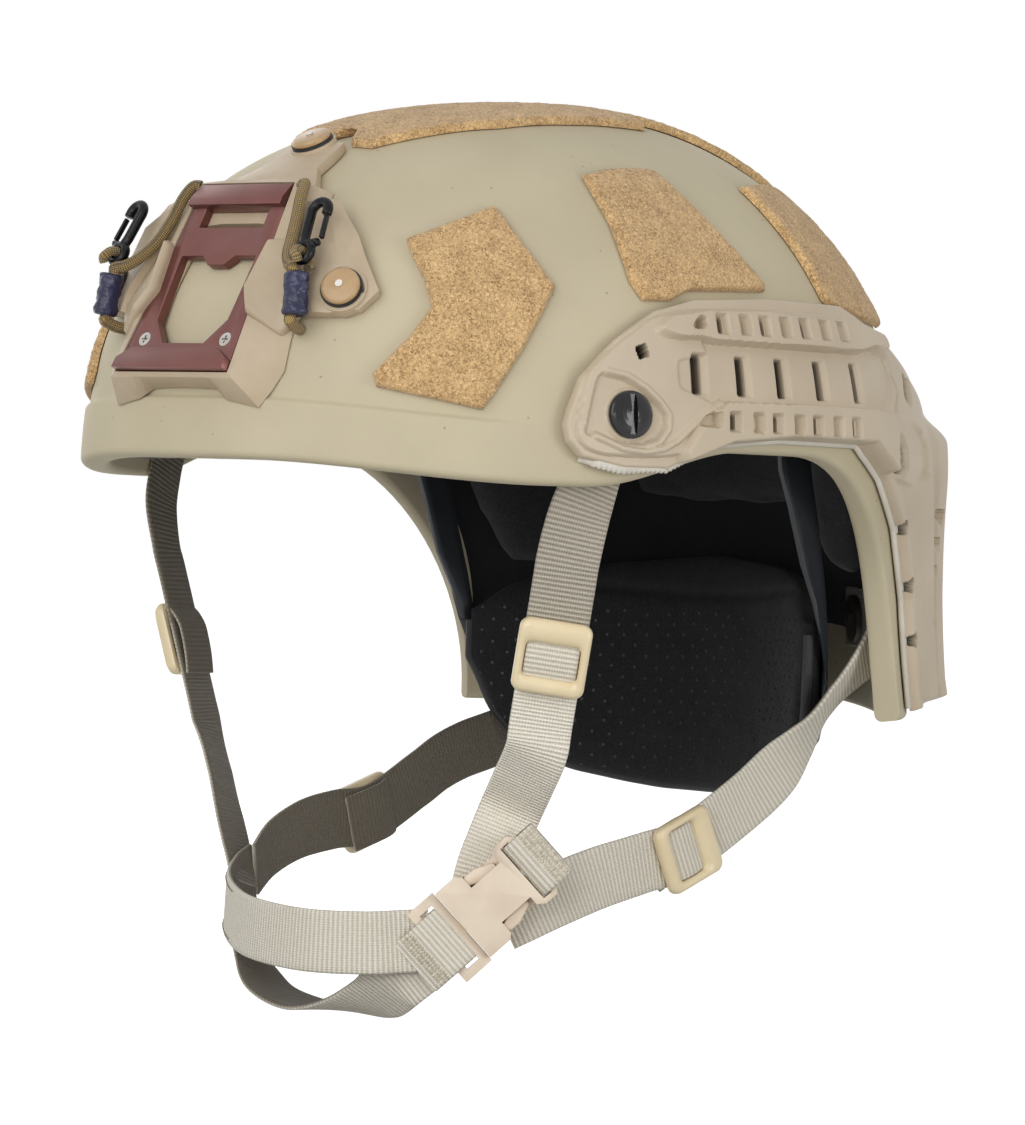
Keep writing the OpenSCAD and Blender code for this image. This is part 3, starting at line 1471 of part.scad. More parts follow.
module bungee(s) {
    wire = eye_r + eye_wire/2;
    side = clip_thk/2 + loop_cord_d/2 + 0.55;
    loop = [for (p = [[1, -side*0.68, -1.65], [1, -side*0.95, -0.7], [0.3, -side, 0.4], [0, -side*0.72, 2.2],
        [0, 0, 3.1], [0, side*0.72, 2.2], [0.3, side, 0.4], [1, side*0.95, -0.7], [1, side*0.68, -1.65]])
        placed(clip_eye, clip_up, clip_out, [p[0], p[2] - wire, p[1]])];
    color("#8f7a3e")
        sided(s) {
            cord(lanyard, cord_d/2, 26);
            cord(loop, loop_cord_d/2, 10, 6);
        }
}

module sleeve(s) {
    color("#2c2d55")
        sided(s)
            place(sleeve_top, sleeve_up, sleeve_out)
                rotate([90, 0, 0])
                    difference() {
                        cylinder(h = sleeve_len, r = sleeve_d/2);
                        translate([-strand_side, 0, -1])
                            cylinder(h = sleeve_len + 2, r = cord_d/2 + 0.1);
                    }
}

// Snap hook: X to the hook's open side, Y from the eye to the hook, Z out of its face
hook_y = 14;
hook_r = 4.2;
hook_x = 2.4;
hook_tip = 1.8;
gate_len = hook_y - hook_tip - 4.6;

module in_clip() {
    place(clip_eye, clip_up, clip_out)
        children();
}

module clip(s) {
    bar = 2.6;
    color("#17171a")
        sided(s)
            in_clip()
                difference() {
                    union() {
                        translate([0, 0, -clip_thk/2])
                            cylinder(h = clip_thk, r = eye_r + eye_wire);
                        translate([hook_x - hook_r, 2, -clip_thk/2])
                            cube([bar, hook_y - 2, clip_thk]);
                        translate([hook_x, hook_y, -clip_thk/2])
                            cylinder(h = clip_thk, r = hook_r);
                        translate([hook_x + hook_r - bar, hook_y - hook_tip, -clip_thk/2])
                            cube([bar, hook_tip, clip_thk]);
                        translate([0, 2, -clip_thk/2])
                            cube([5.2, 2, clip_thk]);
                    }
                    cylinder(h = 10, r = eye_r, center = true);
                    translate([hook_x, hook_y, -5])
                        cylinder(h = 10, r = hook_r - bar);
                    translate([hook_x - hook_r + bar, hook_y - 6, -5])
                        cube([2*(hook_r - bar), 6, 10]);
                    translate([hook_x, hook_y - hook_r - 1, -5])
                        cube([hook_r + 1, hook_r + 1 - hook_tip, 10]);
                }
}

module clip_gate(s) {
    color("#17171a")
        sided(s)
            in_clip()
                translate([hook_x + hook_r - 1.6, 4.2, -0.8])
                    cube([1.2, gate_len, 1.6]);
}

shell();
rail(1);  // rail_left
rail(-1);  // rail_right
rail_pad(1);  // rail_pad_left
rail_pad(-1);  // rail_pad_right
rail_bolts();
rail_nuts();
loop_panel(chevron, 12, 5, 1);  // loop_front_left
loop_panel(side_panel, 9, 9, 1);  // loop_side_left
loop_panel(rear_panel, 9, 6, 1);  // loop_rear_left
loop_panel(chevron, 12, 5, -1);  // loop_front_right
loop_panel(side_panel, 9, 9, -1);  // loop_side_right
loop_panel(rear_panel, 9, 6, -1);  // loop_rear_right
loop_crown();
loop_crown_rear();
shroud_base();
shroud_insert();
insert_screws();
shroud_screws();
shroud_washers();
shroud_nuts();
bungee(1);  // bungee_left
sleeve(1);  // bungee_sleeve_left
clip(1);  // clip_left
clip_gate(1);  // clip_gate_left
bungee(-1);  // bungee_right
sleeve(-1);  // bungee_sleeve_right
clip(-1);  // clip_right
clip_gate(-1);  // clip_gate_right
hook_patches();
pad(front_pad);
crown_pad();
pad(side_pad);  // side_pad_left
right_pad(side_pad);  // side_pad_right
pad(rear_side_pad);  // rear_side_pad_left
right_pad(rear_side_pad);  // rear_side_pad_right
pad(rear_pad);
cradle_yoke();
nape_pad();
cradle_hangers();
cradle_pins();
dial_housing();
dial_knob();
dial_pinion();
strap_front(1);  // strap_front_left
strap_rear(1);  // strap_rear_left
slider_front(1);  // slider_front_left
slider_rear(1);  // slider_rear_left
strap_front(-1);  // strap_front_right
strap_rear(-1);  // strap_rear_right
slider_front(-1);  // slider_front_right
slider_rear(-1);  // slider_rear_right
chin_band();
chin_band_lower();
buckle_loop();
buckle_socket();
buckle_plug();
buckle_prong(-1);  // buckle_prong_upper
buckle_prong(1);  // buckle_prong_lower
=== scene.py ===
"""Looks of a combat helmet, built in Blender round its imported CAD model.

Sizes in the classes are millimetres in the part's own frame: the front faces -Y, the wearer's
left is +X and the crown is +Z. Meshes are written in metres, each piece in its place.
"""

import logging
import math
from dataclasses import dataclass, field
from enum import Enum
from typing import Callable, Sequence

import bmesh
import bpy
import numpy as np
from mathutils import Matrix, Vector


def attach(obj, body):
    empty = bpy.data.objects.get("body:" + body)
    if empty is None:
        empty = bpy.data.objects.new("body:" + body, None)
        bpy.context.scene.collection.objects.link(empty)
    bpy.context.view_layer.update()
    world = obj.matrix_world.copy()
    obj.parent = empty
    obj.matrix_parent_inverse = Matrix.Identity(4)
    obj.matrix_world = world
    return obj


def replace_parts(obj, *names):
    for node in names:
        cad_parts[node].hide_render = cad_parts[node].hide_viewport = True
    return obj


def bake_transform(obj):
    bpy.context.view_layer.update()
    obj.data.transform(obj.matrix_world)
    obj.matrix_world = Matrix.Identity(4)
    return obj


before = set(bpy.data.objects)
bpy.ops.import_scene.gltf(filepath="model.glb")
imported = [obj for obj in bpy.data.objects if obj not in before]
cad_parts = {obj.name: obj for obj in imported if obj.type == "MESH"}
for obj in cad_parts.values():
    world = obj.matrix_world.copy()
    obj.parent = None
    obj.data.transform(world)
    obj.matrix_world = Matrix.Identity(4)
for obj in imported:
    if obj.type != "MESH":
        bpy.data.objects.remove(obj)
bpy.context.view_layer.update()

LOG = logging.getLogger("helmet")
MM = 0.001
MERGE = 2e-6  # points of a mesh closer than this, in metres, are one
Grid = np.ndarray
Mesh = tuple[Grid, list]
Rows = Sequence[Sequence[Sequence[float]]]
Piece = bpy.types.Object
Tree = bpy.types.NodeTree
Socket = bpy.types.NodeSocket


class Side(Enum):
    """The wearer's side that a piece is on."""

    LEFT = 1
    RIGHT = -1

    @property
    def word(self) -> str:
        """The side's name in node names."""
        return self.name.lower()

    @property
    def right(self) -> bool:
        """Whether it is the wearer's right, where pieces are mirrored."""
        return self is Side.RIGHT


# --- colours and nodes


def linear(colour: str) -> tuple[float, float, float, float]:
    """Turns an sRGB hex colour into linear values.

    Args:
        colour: six hex digits with a leading #.

    Returns:
        Linear red, green, blue and an alpha of 1.
    """
    parts = [int(colour[i : i + 2], 16) / 255 for i in (1, 3, 5)]
    return tuple(c / 12.92 if c <= 0.04045 else ((c + 0.055) / 1.055) ** 2.4 for c in parts) + (1.0,)


def fill(tree: Tree, node: bpy.types.Node, values: dict) -> bpy.types.Node:
    """Sets a node's values.

    Args:
        tree: the node tree it is in.
        node: the node.
        values: by attribute name, or by input name or number, a plain value or the socket that goes in.

    Returns:
        The same node.
    """
    for key, value in values.items():
        if isinstance(value, Socket):
            tree.links.new(value, node.inputs[key])
        elif isinstance(key, str) and hasattr(node, key):
            setattr(node, key, value)
        else:
            node.inputs[key].default_value = value
    return node


def add_node(tree: Tree, kind: str, values: dict | None = None) -> bpy.types.Node:
    """Adds a node of a type with its values."""
    return fill(tree, tree.nodes.new(kind), values or {})


def maths(tree: Tree, operation: str, *terms: float | Socket) -> Socket:
    """Result of a calculation on numbers and sockets."""
    return add_node(tree, "ShaderNodeMath", {"operation": operation, **dict(enumerate(terms))}).outputs[0]


def mixed(tree: Tree, share: Socket, first: str | Socket, last: str | Socket) -> Socket:
    """Colour between two by a share, each a hex colour or a socket."""
    first, last = (linear(c) if isinstance(c, str) else c for c in (first, last))
    return add_node(tree, "ShaderNodeMix", {"data_type": "RGBA", 0: share, 6: first, 7: last}).outputs[2]


def per_metre(size_mm: float) -> float:
    """Texture scale that gives features of a size in millimetres."""
    return 1000.0 / size_mm


def texture(tree: Tree, kind: str, size_mm: float, **more: float) -> bpy.types.NodeOutputs:
    """Outputs of a texture on the piece's own coordinates, with features of a size in millimetres."""
    place = add_node(tree, "ShaderNodeTexCoord").outputs["Object"]
    return add_node(tree, kind, {"Scale": per_metre(size_mm), **more, "Vector": place}).outputs


def noise(tree: Tree, size_mm: float, detail: float, **more: float) -> Socket:
    """Noise with features of a size in millimetres."""
    return texture(tree, "ShaderNodeTexNoise", size_mm, Detail=detail, **more)["Fac"]


def along_uv(tree: Tree) -> bpy.types.NodeOutputs:
    """Sockets X and Y of the piece's UV map, across and along it in metres."""
    uv = add_node(tree, "ShaderNodeUVMap", {"uv_map": "UVMap"})
    return add_node(tree, "ShaderNodeSeparateXYZ", {"Vector": uv.outputs["UV"]}).outputs


def ripple(tree: Tree, place: Socket, pitch_mm: float) -> Socket:
    """A sine wave over a place in metres, one for each pitch in millimetres."""
    return maths(tree, "SINE", maths(tree, "MULTIPLY", place, 2 * math.pi * per_metre(pitch_mm)))


def attribute(tree: Tree, name: str) -> Socket:
    """The number that each point of a piece carries under a name."""
    return add_node(tree, "ShaderNodeAttribute", {"attribute_name": name}).outputs["Fac"]


@dataclass(frozen=True)
class Finish:
    """A finish with a fine grain, a slow change of tone and small marks.

    The grain is the surface's own texture, the mottle its uneven tone, and the specks are small
    darker marks such as pinholes.
    """

    title: str
    base: str
    shade: str
    roughness: float
    grain_mm: float = 0.5
    grain_deep: float = 0.02
    mottle_mm: float = 30.0
    mottle: float = 0.5
    specks: float = 0.0
    speck_mm: float = 3.0
    metallic: float = 0.0
    sheen: float = 0.0
    coat: float = 0.0
    gleam: float = 0.5
    speck_tone: str = "#4b4335"

    def material(self) -> bpy.types.Material:
        """The finish's material, made once."""
        return bpy.data.materials.get(self.title) or self.build()

    def build(self) -> bpy.types.Material:
        """Makes the material: the shader's plain values, and the pattern's colour and bump.

        Returns:
            The material.
        """
        made = bpy.data.materials.new(self.title)
        made.use_nodes = True
        tree = made.node_tree
        colour, height = self.pattern(tree)
        bump = add_node(tree, "ShaderNodeBump",
                        {"Strength": 1.0, "Distance": self.grain_deep * MM, "Height": height})
        fill(tree, tree.nodes["Principled BSDF"],
             {"Roughness": self.roughness, "Metallic": self.metallic, "Sheen Weight": self.sheen,
              "Coat Weight": self.coat, "Specular IOR Level": self.gleam, "Base Color": colour,
              "Normal": bump.outputs["Normal"]})
        return made

    def toned(self, tree: Tree, value: Socket, low: float, high: float,
              most: float = 1.0, tones: Sequence[str] = ()) -> Socket:
        """Colour from the shade to the base as a value goes from low to high.

        Args:
            tree: the node tree.
            value: the value's socket.
            low: value that gives the first tone.
            high: value that gives the last one.
            most: the largest share of the last tone.
            tones: the two tones, if they aren't the shade and the base.

        Returns:
            The colour's socket.
        """
        tone = add_node(tree, "ShaderNodeMapRange",
                        {"From Min": low, "From Max": high, "To Max": most, "Value": value})
        return mixed(tree, tone.outputs["Result"], *(tones or (self.shade, self.base)))

    def pattern(self, tree: Tree) -> tuple[Socket, Socket]:
        """Makes the finish's own pattern.

        Args:
            tree: the material's node tree.

        Returns:
            The sockets of its colour and of its height.
        """
        colour = self.toned(tree, noise(tree, self.mottle_mm, 3.0), 0.35, 0.65, self.mottle, (self.base, self.shade))
        if self.specks:
            dots = texture(tree, "ShaderNodeTexVoronoi", self.speck_mm)
            near = add_node(tree, "ShaderNodeMapRange",
                            {"From Min": 0.05, "From Max": 0.12, "To Min": self.specks, "To Max": 0.0,
                             "Value": dots["Distance"]})
            few = maths(tree, "GREATER_THAN", dots["Color"], 0.72)
            colour = mixed(tree, maths(tree, "MULTIPLY", near.outputs["Result"], few), colour, self.speck_tone)
        return colour, noise(tree, self.grain_mm, 2.0)


@dataclass(frozen=True)
class Pierced(Finish):
    """A moulding with painted shade, near black, at its openings' bottoms, where an attribute named open is 1."""

    # Colour of the painted shade at the openings' bottoms.
    dark: str = "#0c0a09"

    def pattern(self, tree: Tree) -> tuple[Socket, Socket]:
        """The plain pattern, with painted shade where the attribute says."""
        colour, height = super().pattern(tree)
        return mixed(tree, attribute(tree, "open"), colour, self.dark), height


@dataclass(frozen=True)
class LoopPile(Finish):
    """Napped loop fabric: curled nylon loops about 0.6 mm across, tips in painted light, roots in painted shade."""

    def pattern(self, tree: Tree) -> tuple[Socket, Socket]:
        """Curls with tips in painted light and painted shade between them, some places fuller than others."""
        curls = noise(tree, self.grain_mm, 4.0, Distortion=1.2)
        total = maths(tree, "MULTIPLY_ADD", noise(tree, self.mottle_mm, 4.0), 0.25, curls)
        return self.toned(tree, total, 0.42, 0.78), curls


@dataclass(frozen=True)
class Weave(Finish):
    """Flat woven webbing on a UV map in metres: U across it and V along it.

    Weft ribs run across, and warp yarns along, in painted light on their crests and painted shade between.
    An attribute named side is 1 on the face and 0 on the back, which is coloured darker.
    """

    rib_mm: float = 1.5
    yarn_mm: float = 0.75
    back: str = "#6a6152"

    def pattern(self, tree: Tree) -> tuple[Socket, Socket]:
        """Ribs and yarns with a fuzz over them, crests in painted light, and the darker colour of the back."""
        axes = along_uv(tree)
        crossed = maths(tree, "MULTIPLY_ADD", ripple(tree, axes["X"], self.yarn_mm), 0.35,
                        ripple(tree, axes["Y"], self.rib_mm))
        high = maths(tree, "MULTIPLY_ADD", noise(tree, self.grain_mm, 3.0), 1.6, crossed)
        return mixed(tree, attribute(tree, "side"), self.back, self.toned(tree, high, -0.6, 2.0)), high


@dataclass(frozen=True)
class CordWeave(Finish):
    """Braided cover of an elastic cord on a UV map in metres: dark flecks in gold yarn."""

    yarn_mm: float = 1.3

    def pattern(self, tree: Tree) -> tuple[Socket, Socket]:
        """Two sets of yarns wound opposite ways."""
        axes = along_uv(tree)
        high = maths(tree, "MULTIPLY", *(
            ripple(tree, maths(tree, "MULTIPLY_ADD", axes["X"], way, axes["Y"]), self.yarn_mm) for way in (1.0, -1.0)))
        return self.toned(tree, high, -0.5, 0.6), high


# Sprayed matt paint over a moulded fibre shell: a fine sandy grain and a few pinholes.
SHELL_PAINT = Finish("matt sand paint on fibre shell", "#c6bb9f", "#bcb195", 0.66, 0.8, 0.06, 45.0, 0.8, 0.5, 4.2)
# Flocked foam glued inside the shell, matt black.
SHELL_LINING = Finish("black flocked shell lining", "#17161b", "#0e0d11", 0.95, 0.7, 0.12, 8.0, 0.7)
# Injection moulded nylon, satin: smooth, with a very fine spark-eroded grain; the rail's openings get painted shade.
RAIL_NYLON = Pierced("moulded tan nylon rail", "#c6b7a0", "#b9a992", 0.5, 0.35, 0.02, 25.0, 0.6)
SHROUD_NYLON = Finish("moulded tan nylon shroud", "#c0ae94", "#b09d83", 0.48, 0.35, 0.02, 14.0, 0.7)
# Moulded rubber strip: pale, soft and matt.
PAD_RUBBER = Finish("soft tan rubber pad", "#dcd6ca", "#c9c2b4", 0.75, 0.5, 0.04, 12.0, 0.7)
# Nylon loop pile, knitted and brushed up: curls about 0.6 mm across, drawn a little coarser.
LOOP_PILE = LoopPile("brushed nylon loop pile", "#efc991", "#8f693c", 0.95, 0.75, 0.55, 7.0, sheen=0.25)
# Machined aluminium, bead blasted and anodised a copper brown.
ANODISED = Finish("copper brown anodised aluminium", "#7d524d", "#6c4541", 0.34, 0.25, 0.01, 14.0, 0.5, metallic=0.7)
# Stainless steel screw, turned and brushed: bright, with a soft grain.
STEEL = Finish("turned stainless steel", "#c9c6c0", "#aeaaa2", 0.3, 0.2, 0.01, 3.0, 0.6, metallic=1.0)
# Steel screw with a tan enamel: satin, under a thin clear coat.
TAN_ENAMEL = Finish("tan enamelled screw", "#bb9b72", "#a98a62", 0.4, 0.4, 0.01, 5.0, 0.6, coat=0.2)
# Steel bolt head with gloss black enamel: small hard highlights.
BLACK_ENAMEL = Finish("gloss black enamelled bolt", "#0b0b0d", "#111114", 0.15, 0.6, 0.01, 8.0, 0.5, gleam=0.45)
# Black zinc plated steel nuts inside the shell: dark, dull metal.
DARK_ZINC = Finish("black zinc plated nut", "#4a4845", "#3a3836", 0.42, 0.3, 0.01, 4.0, 0.6, metallic=0.8)
# Black moulded rubber washer: dull and even.
BLACK_RUBBER = Finish("black rubber washer", "#16161a", "#1e1e22", 0.6, 0.4, 0.02, 6.0, 0.5)
# Braided nylon cover over a rubber core: gold yarn with dark flecks.
ELASTIC = CordWeave("braided elastic cord", "#c0a062", "#5a4826", 0.7, 0.3, 0.25, sheen=0.2)
# Shrunk polyolefin tube, gloss, wrinkled where it shrank unevenly.
SHRINK_TUBE = Finish("navy shrunk tube", "#25264a", "#17182f", 0.3, 1.8, 0.4, 5.0, 0.7, gleam=0.45)
# Injection moulded black acetal snap hook: smooth, with soft highlights.
BLACK_ACETAL = Finish("gloss black acetal", "#08080a", "#0c0c0f", 0.26, 0.8, 0.01, 6.0, 0.5, gleam=0.25)
# Needled polyester felt over foam: dull black with a short nap.
FELT = LoopPile("black brushed pad felt", "#232226", "#09090b", 0.95, 0.9, 0.35, 6.0, sheen=0.08)
# Knitted spacer mesh over foam: black, with painted shade in small pits.
SPACER_MESH = LoopPile("black spacer mesh", "#1e1e1f", "#060607", 0.85, 0.7, 0.3, 5.0, sheen=0.03, gleam=0.3)
# Moulded dark grey nylon of the fit bands: satin.
FIT_NYLON = Finish("moulded dark grey nylon", "#2c2f34", "#232529", 0.38, 0.4, 0.015, 10.0, 0.5)
# Copper coloured moulded pin: satin, a little metallic.
PIN_NYLON = Finish("copper brown pivot pin", "#a8622f", "#874d22", 0.35, 0.4, 0.01, 4.0, 0.5, metallic=0.4)
# Pale moulded nylon pinion: nearly white, dull.
PINION_NYLON = Finish("natural nylon pinion", "#b7b7ba", "#a0a0a4", 0.45, 0.4, 0.01, 4.0, 0.5)
# Woven nylon webbing: a weft rib about every 1.5 mm on the face, and a darker back.
WEBBING = Weave("woven nylon webbing", "#f0eadd", "#c4bba8", 0.8, 0.35, 0.14, sheen=0.15)
# The heavier webbing above the front sliders, in deeper ribs, darker in tone as painted shade from the brim above it.
SHADED_STRAP_WEBBING = Weave("ribbed nylon webbing", "#d0c8b9", "#8f8775", 0.75, 0.35, 0.2, sheen=0.15)
# Fine webbing of the adjustable strap ends: shinier, and paler as painted light where they hang lit below the brim.
LIT_FINE_WEBBING = Weave("fine nylon webbing", "#fbf6ea", "#d0c7b2", 0.6, 0.5, 0.14, sheen=0.2, rib_mm=1.2, yarn_mm=0.9)
# Injection moulded acetal of the sliders: smooth and glossy.
SLIDER_ACETAL = Finish("moulded cream acetal", "#ead9b4", "#e0cda4", 0.28, 0.6, 0.01, 12.0, 0.6)
# Injection moulded acetal of the buckle: smooth and satin.
BUCKLE_ACETAL = Finish("moulded pink tan acetal", "#e4d4be", "#d2bfab", 0.36, 0.5, 0.015, 12.0, 0.6)
# Woven hook tape glued to the shell: dull black, slightly grainy.
HOOK_TAPE = Finish("black hook tape", "#1d1c20", "#131316", 0.8, 0.6, 0.1, 6.0, 0.6)
# Bonded nylon thread of the stitches, slightly shiny, in a light and a dark dye.
THREAD = Finish("bonded nylon thread", "#e2d9c6", "#a0967f", 0.5, 0.4, 0.02, 1.2, 0.8, sheen=0.1)
DARK_THREAD = Finish("olive nylon thread", "#7c725f", "#5f5748", 0.6, 0.4, 0.02, 1.2, 0.8)
# Woven polyester tape folded over the cushion's edge, dull.
BINDING = Finish("black folded binding tape", "#1d1d20", "#101012", 0.7, 0.7, 0.15, 5.0, 0.6, sheen=0.1)
# Polyester mesh melted round each hole by the cutter: a small glossy ring, near black as painted shade in the hole.
HOLE_SHADE_AND_EDGE = Finish("glossy heat-cut mesh hole", "#0c0c0d", "#141416", 0.4, 0.5, 0.01, 3.0, 0.5, gleam=0.35)


# --- the shell's form


def ramp(value: Grid, low: float, high: float) -> Grid:
    """Smooth step from 0 at low to 1 at high."""
    share = np.clip((np.asarray(value, float) - low) / (high - low), 0, 1)
    return share * share * (3 - 2 * share)


@dataclass(frozen=True)
class ShellForm:
    """The rule that the shell's skin follows: a superellipse plan that closes towards the crown."""

    length: float = 276.0
    width: float = 224.9
    crown_up: float = 112.5
    front_deep: float = 149.8
    wall: float = 8.0
    band: float = 17.5
    band_proud: float = 1.2
    brim_dip: float = 5.0
    ear_up: float = 7.0
    lobe_down: float = 73.5
    rear_rise: float = 6.0
    square: tuple[float, float] = (2.295, 1.945)
    dome_p: tuple[float, float] = (2.244, 1.808)
    dome_q: tuple[float, float] = (2.665, 1.967)
    waist: tuple[float, float] = (2.8, -0.8)
    flare: tuple[float, float] = (0.022, 0.104)
    lean: float = 4.99
    lean_level: float = 14.0
    ear_front: float = 56.0
    ear_top: float = 84.0
    ear_back: float = 98.0
    ear_rear: float = 129.6

    @property
    def widest_y(self) -> float:
        """Place of the widest station."""
        return self.front_deep - self.length / 2

    def reach(self, turn: Grid) -> Grid:
        """Distance of the plan outline from the widest station's middle, at an angle in degrees."""
        a = np.radians(turn)
        ahead = np.cos(a) > 0
        n = np.where(ahead, *self.square)
        deep = np.where(ahead, self.front_deep, self.length - self.front_deep)
        return ((np.abs(np.sin(a)) / (self.width / 2)) ** n + (np.abs(np.cos(a)) / deep) ** n) ** (-1 / n)

    def between(self, pair: tuple[float, float], turn: Grid) -> Grid:
        """A front and a rear value mixed by the angle."""
        return pair[0] + (pair[1] - pair[0]) * (1 - np.cos(np.radians(turn))) / 2

    def swell(self, turn: Grid, level: Grid) -> Grid:
        """Share of the plan outline that the shell has at a level."""
        zc = self.between(self.waist, turn)
        p, q = self.between(self.dome_p, turn), self.between(self.dome_q, turn)
        k = np.clip((level - zc) / (self.crown_up - zc), 0, 1)
        above = np.clip(1 - k**p, 0, 1) ** (1 / q)
        below = 1 + self.between(self.flare, turn) * ((zc - level) / 100) ** 2
        return np.where(level >= zc, above, below)

    def skin(self, turn: Grid, level: Grid) -> Grid:
        """Points of the outer surface, by the angle about the widest station's middle."""
        turn, level = np.broadcast_arrays(np.asarray(turn, float), np.asarray(level, float))
        r, a = self.reach(turn) * self.swell(turn, level), np.radians(turn)
        y = self.widest_y - r * np.cos(a) + self.lean * (level - self.lean_level) / 100
        return np.stack([r * np.sin(a), y, level], -1)

    def normal(self, turn: Grid, level: Grid) -> Grid:
        """Outward normals there."""
        level = np.minimum(level, self.crown_up - 0.6)
        across = self.skin(np.add(turn, 0.5), level) - self.skin(np.subtract(turn, 0.5), level)
        up = self.skin(turn, level + 0.3) - self.skin(turn, level - 0.3)
        n = np.cross(across, up)
        return n / np.linalg.norm(n, axis=-1, keepdims=True)

    def turned(self, angle: Grid, level: Grid) -> Grid:
        """The angle about the widest station for an angle about the origin."""
        angle = np.asarray(angle, float)
        turn = angle * 1.0
        for _ in range(4):
            p = self.skin(turn, level)
            seen = np.degrees(np.arctan2(p[..., 0], -p[..., 1]))
            turn = turn + (angle - seen + 180) % 360 - 180
        return turn

    def at(self, angle: Grid, level: Grid, off: Grid) -> Grid:
        """Points at an angle about the origin, a level and a distance outside the shell."""
        angle, level, off = np.broadcast_arrays(*(np.asarray(v, float) for v in (angle, level, off)))
        turn = self.turned(angle, level)
        return self.skin(turn, level) + off[..., None] * self.normal(turn, level)

    def level_over(self, x: Grid, y: Grid) -> Grid:
        """Level of the shell over a plan point near the crown."""
        z = np.full(np.broadcast(x, y).shape, self.crown_up)
        for _ in range(5):
            yy = y - self.widest_y - self.lean * (z - self.lean_level) / 100
            turn = np.degrees(np.arctan2(x, -yy))
            zc = self.between(self.waist, turn)
            k = np.hypot(x, yy) / self.reach(turn)
            lift = np.clip(1 - k ** self.between(self.dome_q, turn), 0, 1) ** (1 / self.between(self.dome_p, turn))
            z = zc + (self.crown_up - zc) * lift
        return z

    def over(self, x: Grid, y: Grid, off: Grid) -> Grid:
        """Points at a distance above the shell over a plan point."""
        x, y, off = np.broadcast_arrays(*(np.asarray(v, float) for v in (x, y, off)))
        e = 0.5
        p = np.stack([x, y, self.level_over(x, y)], -1)
        px = np.stack([x + e, y, self.level_over(x + e, y)], -1)
        py = np.stack([x, y + e, self.level_over(x, y + e)], -1)
        n = np.cross(px - p, py - p)
        return p + off[..., None] * n / np.linalg.norm(n, axis=-1, keepdims=True)

    def edge(self, angle: Grid) -> Grid:
        """Level of the shell's lower edge."""
        a = np.abs(angle)
        u = np.clip((a - self.ear_back) / (self.ear_rear - self.ear_back), 0, 1)
        front = -self.brim_dip * ramp(a, 10, 50) + (self.ear_up + self.brim_dip) * ramp(a, self.ear_front, self.ear_top)
        drop = (self.ear_up + self.lobe_down) * (1 - np.sqrt(1 - u * u))
        return front - drop + self.rear_rise * ramp(a, 140, 180)


FORM = ShellForm()


# --- meshes


def grid_faces(rows: int, cols: int, first: int = 0, flip: bool = False, wrap: bool = False) -> list[tuple]:
    """Faces of a grid of points stored row by row.

    Args:
        rows: number of rows.
        cols: number of columns.
        first: index of the first point.
        flip: whether the faces look the other way.
        wrap: whether the last column joins the first.

    Returns:
        Faces of four indices each.
    """
    i, j = np.meshgrid(np.arange(rows - 1), np.arange(cols if wrap else cols - 1), indexing="ij")
    k = (j + 1) % cols
    quads = np.stack([i * cols + j, i * cols + k, (i + 1) * cols + k, (i + 1) * cols + j], -1).reshape(-1, 4) + first
    return (quads[:, ::-1] if flip else quads).tolist()


def capped(rings: int, sides: int, flip: bool = False) -> list:
    """Faces of rings of points joined to a tube, with a cap at each end."""
    caps = [range(sides)[::-1], range((rings - 1) * sides, rings * sides)]
    return grid_faces(rings, sides, wrap=True, flip=flip) + [tuple(c[::-1] if flip else c) for c in caps]


def gaps(points: Grid, axis: int = 0) -> Grid:
    """Distances between neighbours along an axis of a grid of points."""
    return np.linalg.norm(np.diff(points, axis=axis), axis=-1)


def run_lengths(points: Grid) -> Grid:
    """Length along a line of points, at each of them."""
    return np.concatenate([[0], np.cumsum(gaps(points))])


def look_up(table: Rows, at: Grid) -> Grid:
    """Values between those of a table of pairs."""
    return np.interp(at, *zip(*table))


def mount(piece: Piece, body: str, node: str = "") -> Piece:
    """Puts a piece on a body, and hides the CAD node that it replaces.

    Args:
        piece: the object.
        body: the body it rides on.
        node: the CAD node that it replaces, if it does.

    Returns:
        The same object.
    """
    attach(piece, body)
    if node:
        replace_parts(piece, node)
    return piece


def make_piece(name: str, points: Grid, faces: Sequence = (), finish: Finish | None = None, smooth: float = 0.0,
               mirror: bool = False) -> Piece:
    """Makes a mesh object in its place.

    Args:
        name: the piece's name.
        points: its points in millimetres.
        faces: its faces.
        finish: its finish.
        smooth: edges sharper than this angle in degrees stay sharp; at 0 the faces are flat.
        mirror: whether to mirror it to the other side of the helmet.

    Returns:
        The object.
    """
    mesh = bpy.data.meshes.new(name)
    points = np.asarray(points, float).reshape(-1, 3) * MM
    if mirror:
        points = points * [-1, 1, 1]
        faces = [tuple(reversed(f)) for f in faces]
    mesh.from_pydata(points.tolist(), [], faces)
    mesh.validate()
    made = added(name, mesh)
    if smooth:
        shade(made, smooth)
    if finish:
        dress(made, finish)
    return made


def shade(piece: Piece, smooth: float) -> None:
    """Shades a piece smooth, with sharp edges past an angle in degrees."""
    piece.data.shade_smooth()
    piece.data.set_sharp_from_angle(angle=math.radians(smooth))


def dress(piece: Piece, finish: Finish) -> None:
    """Gives a piece one finish all over."""
    piece.data.materials.clear()
    piece.data.materials.append(finish.material())


def give_value(piece: Piece, name: str, values: Grid) -> None:
    """Gives each point of a piece a number under a name."""
    piece.data.attributes.new(name, "FLOAT", "POINT").data.foreach_set("value", values)


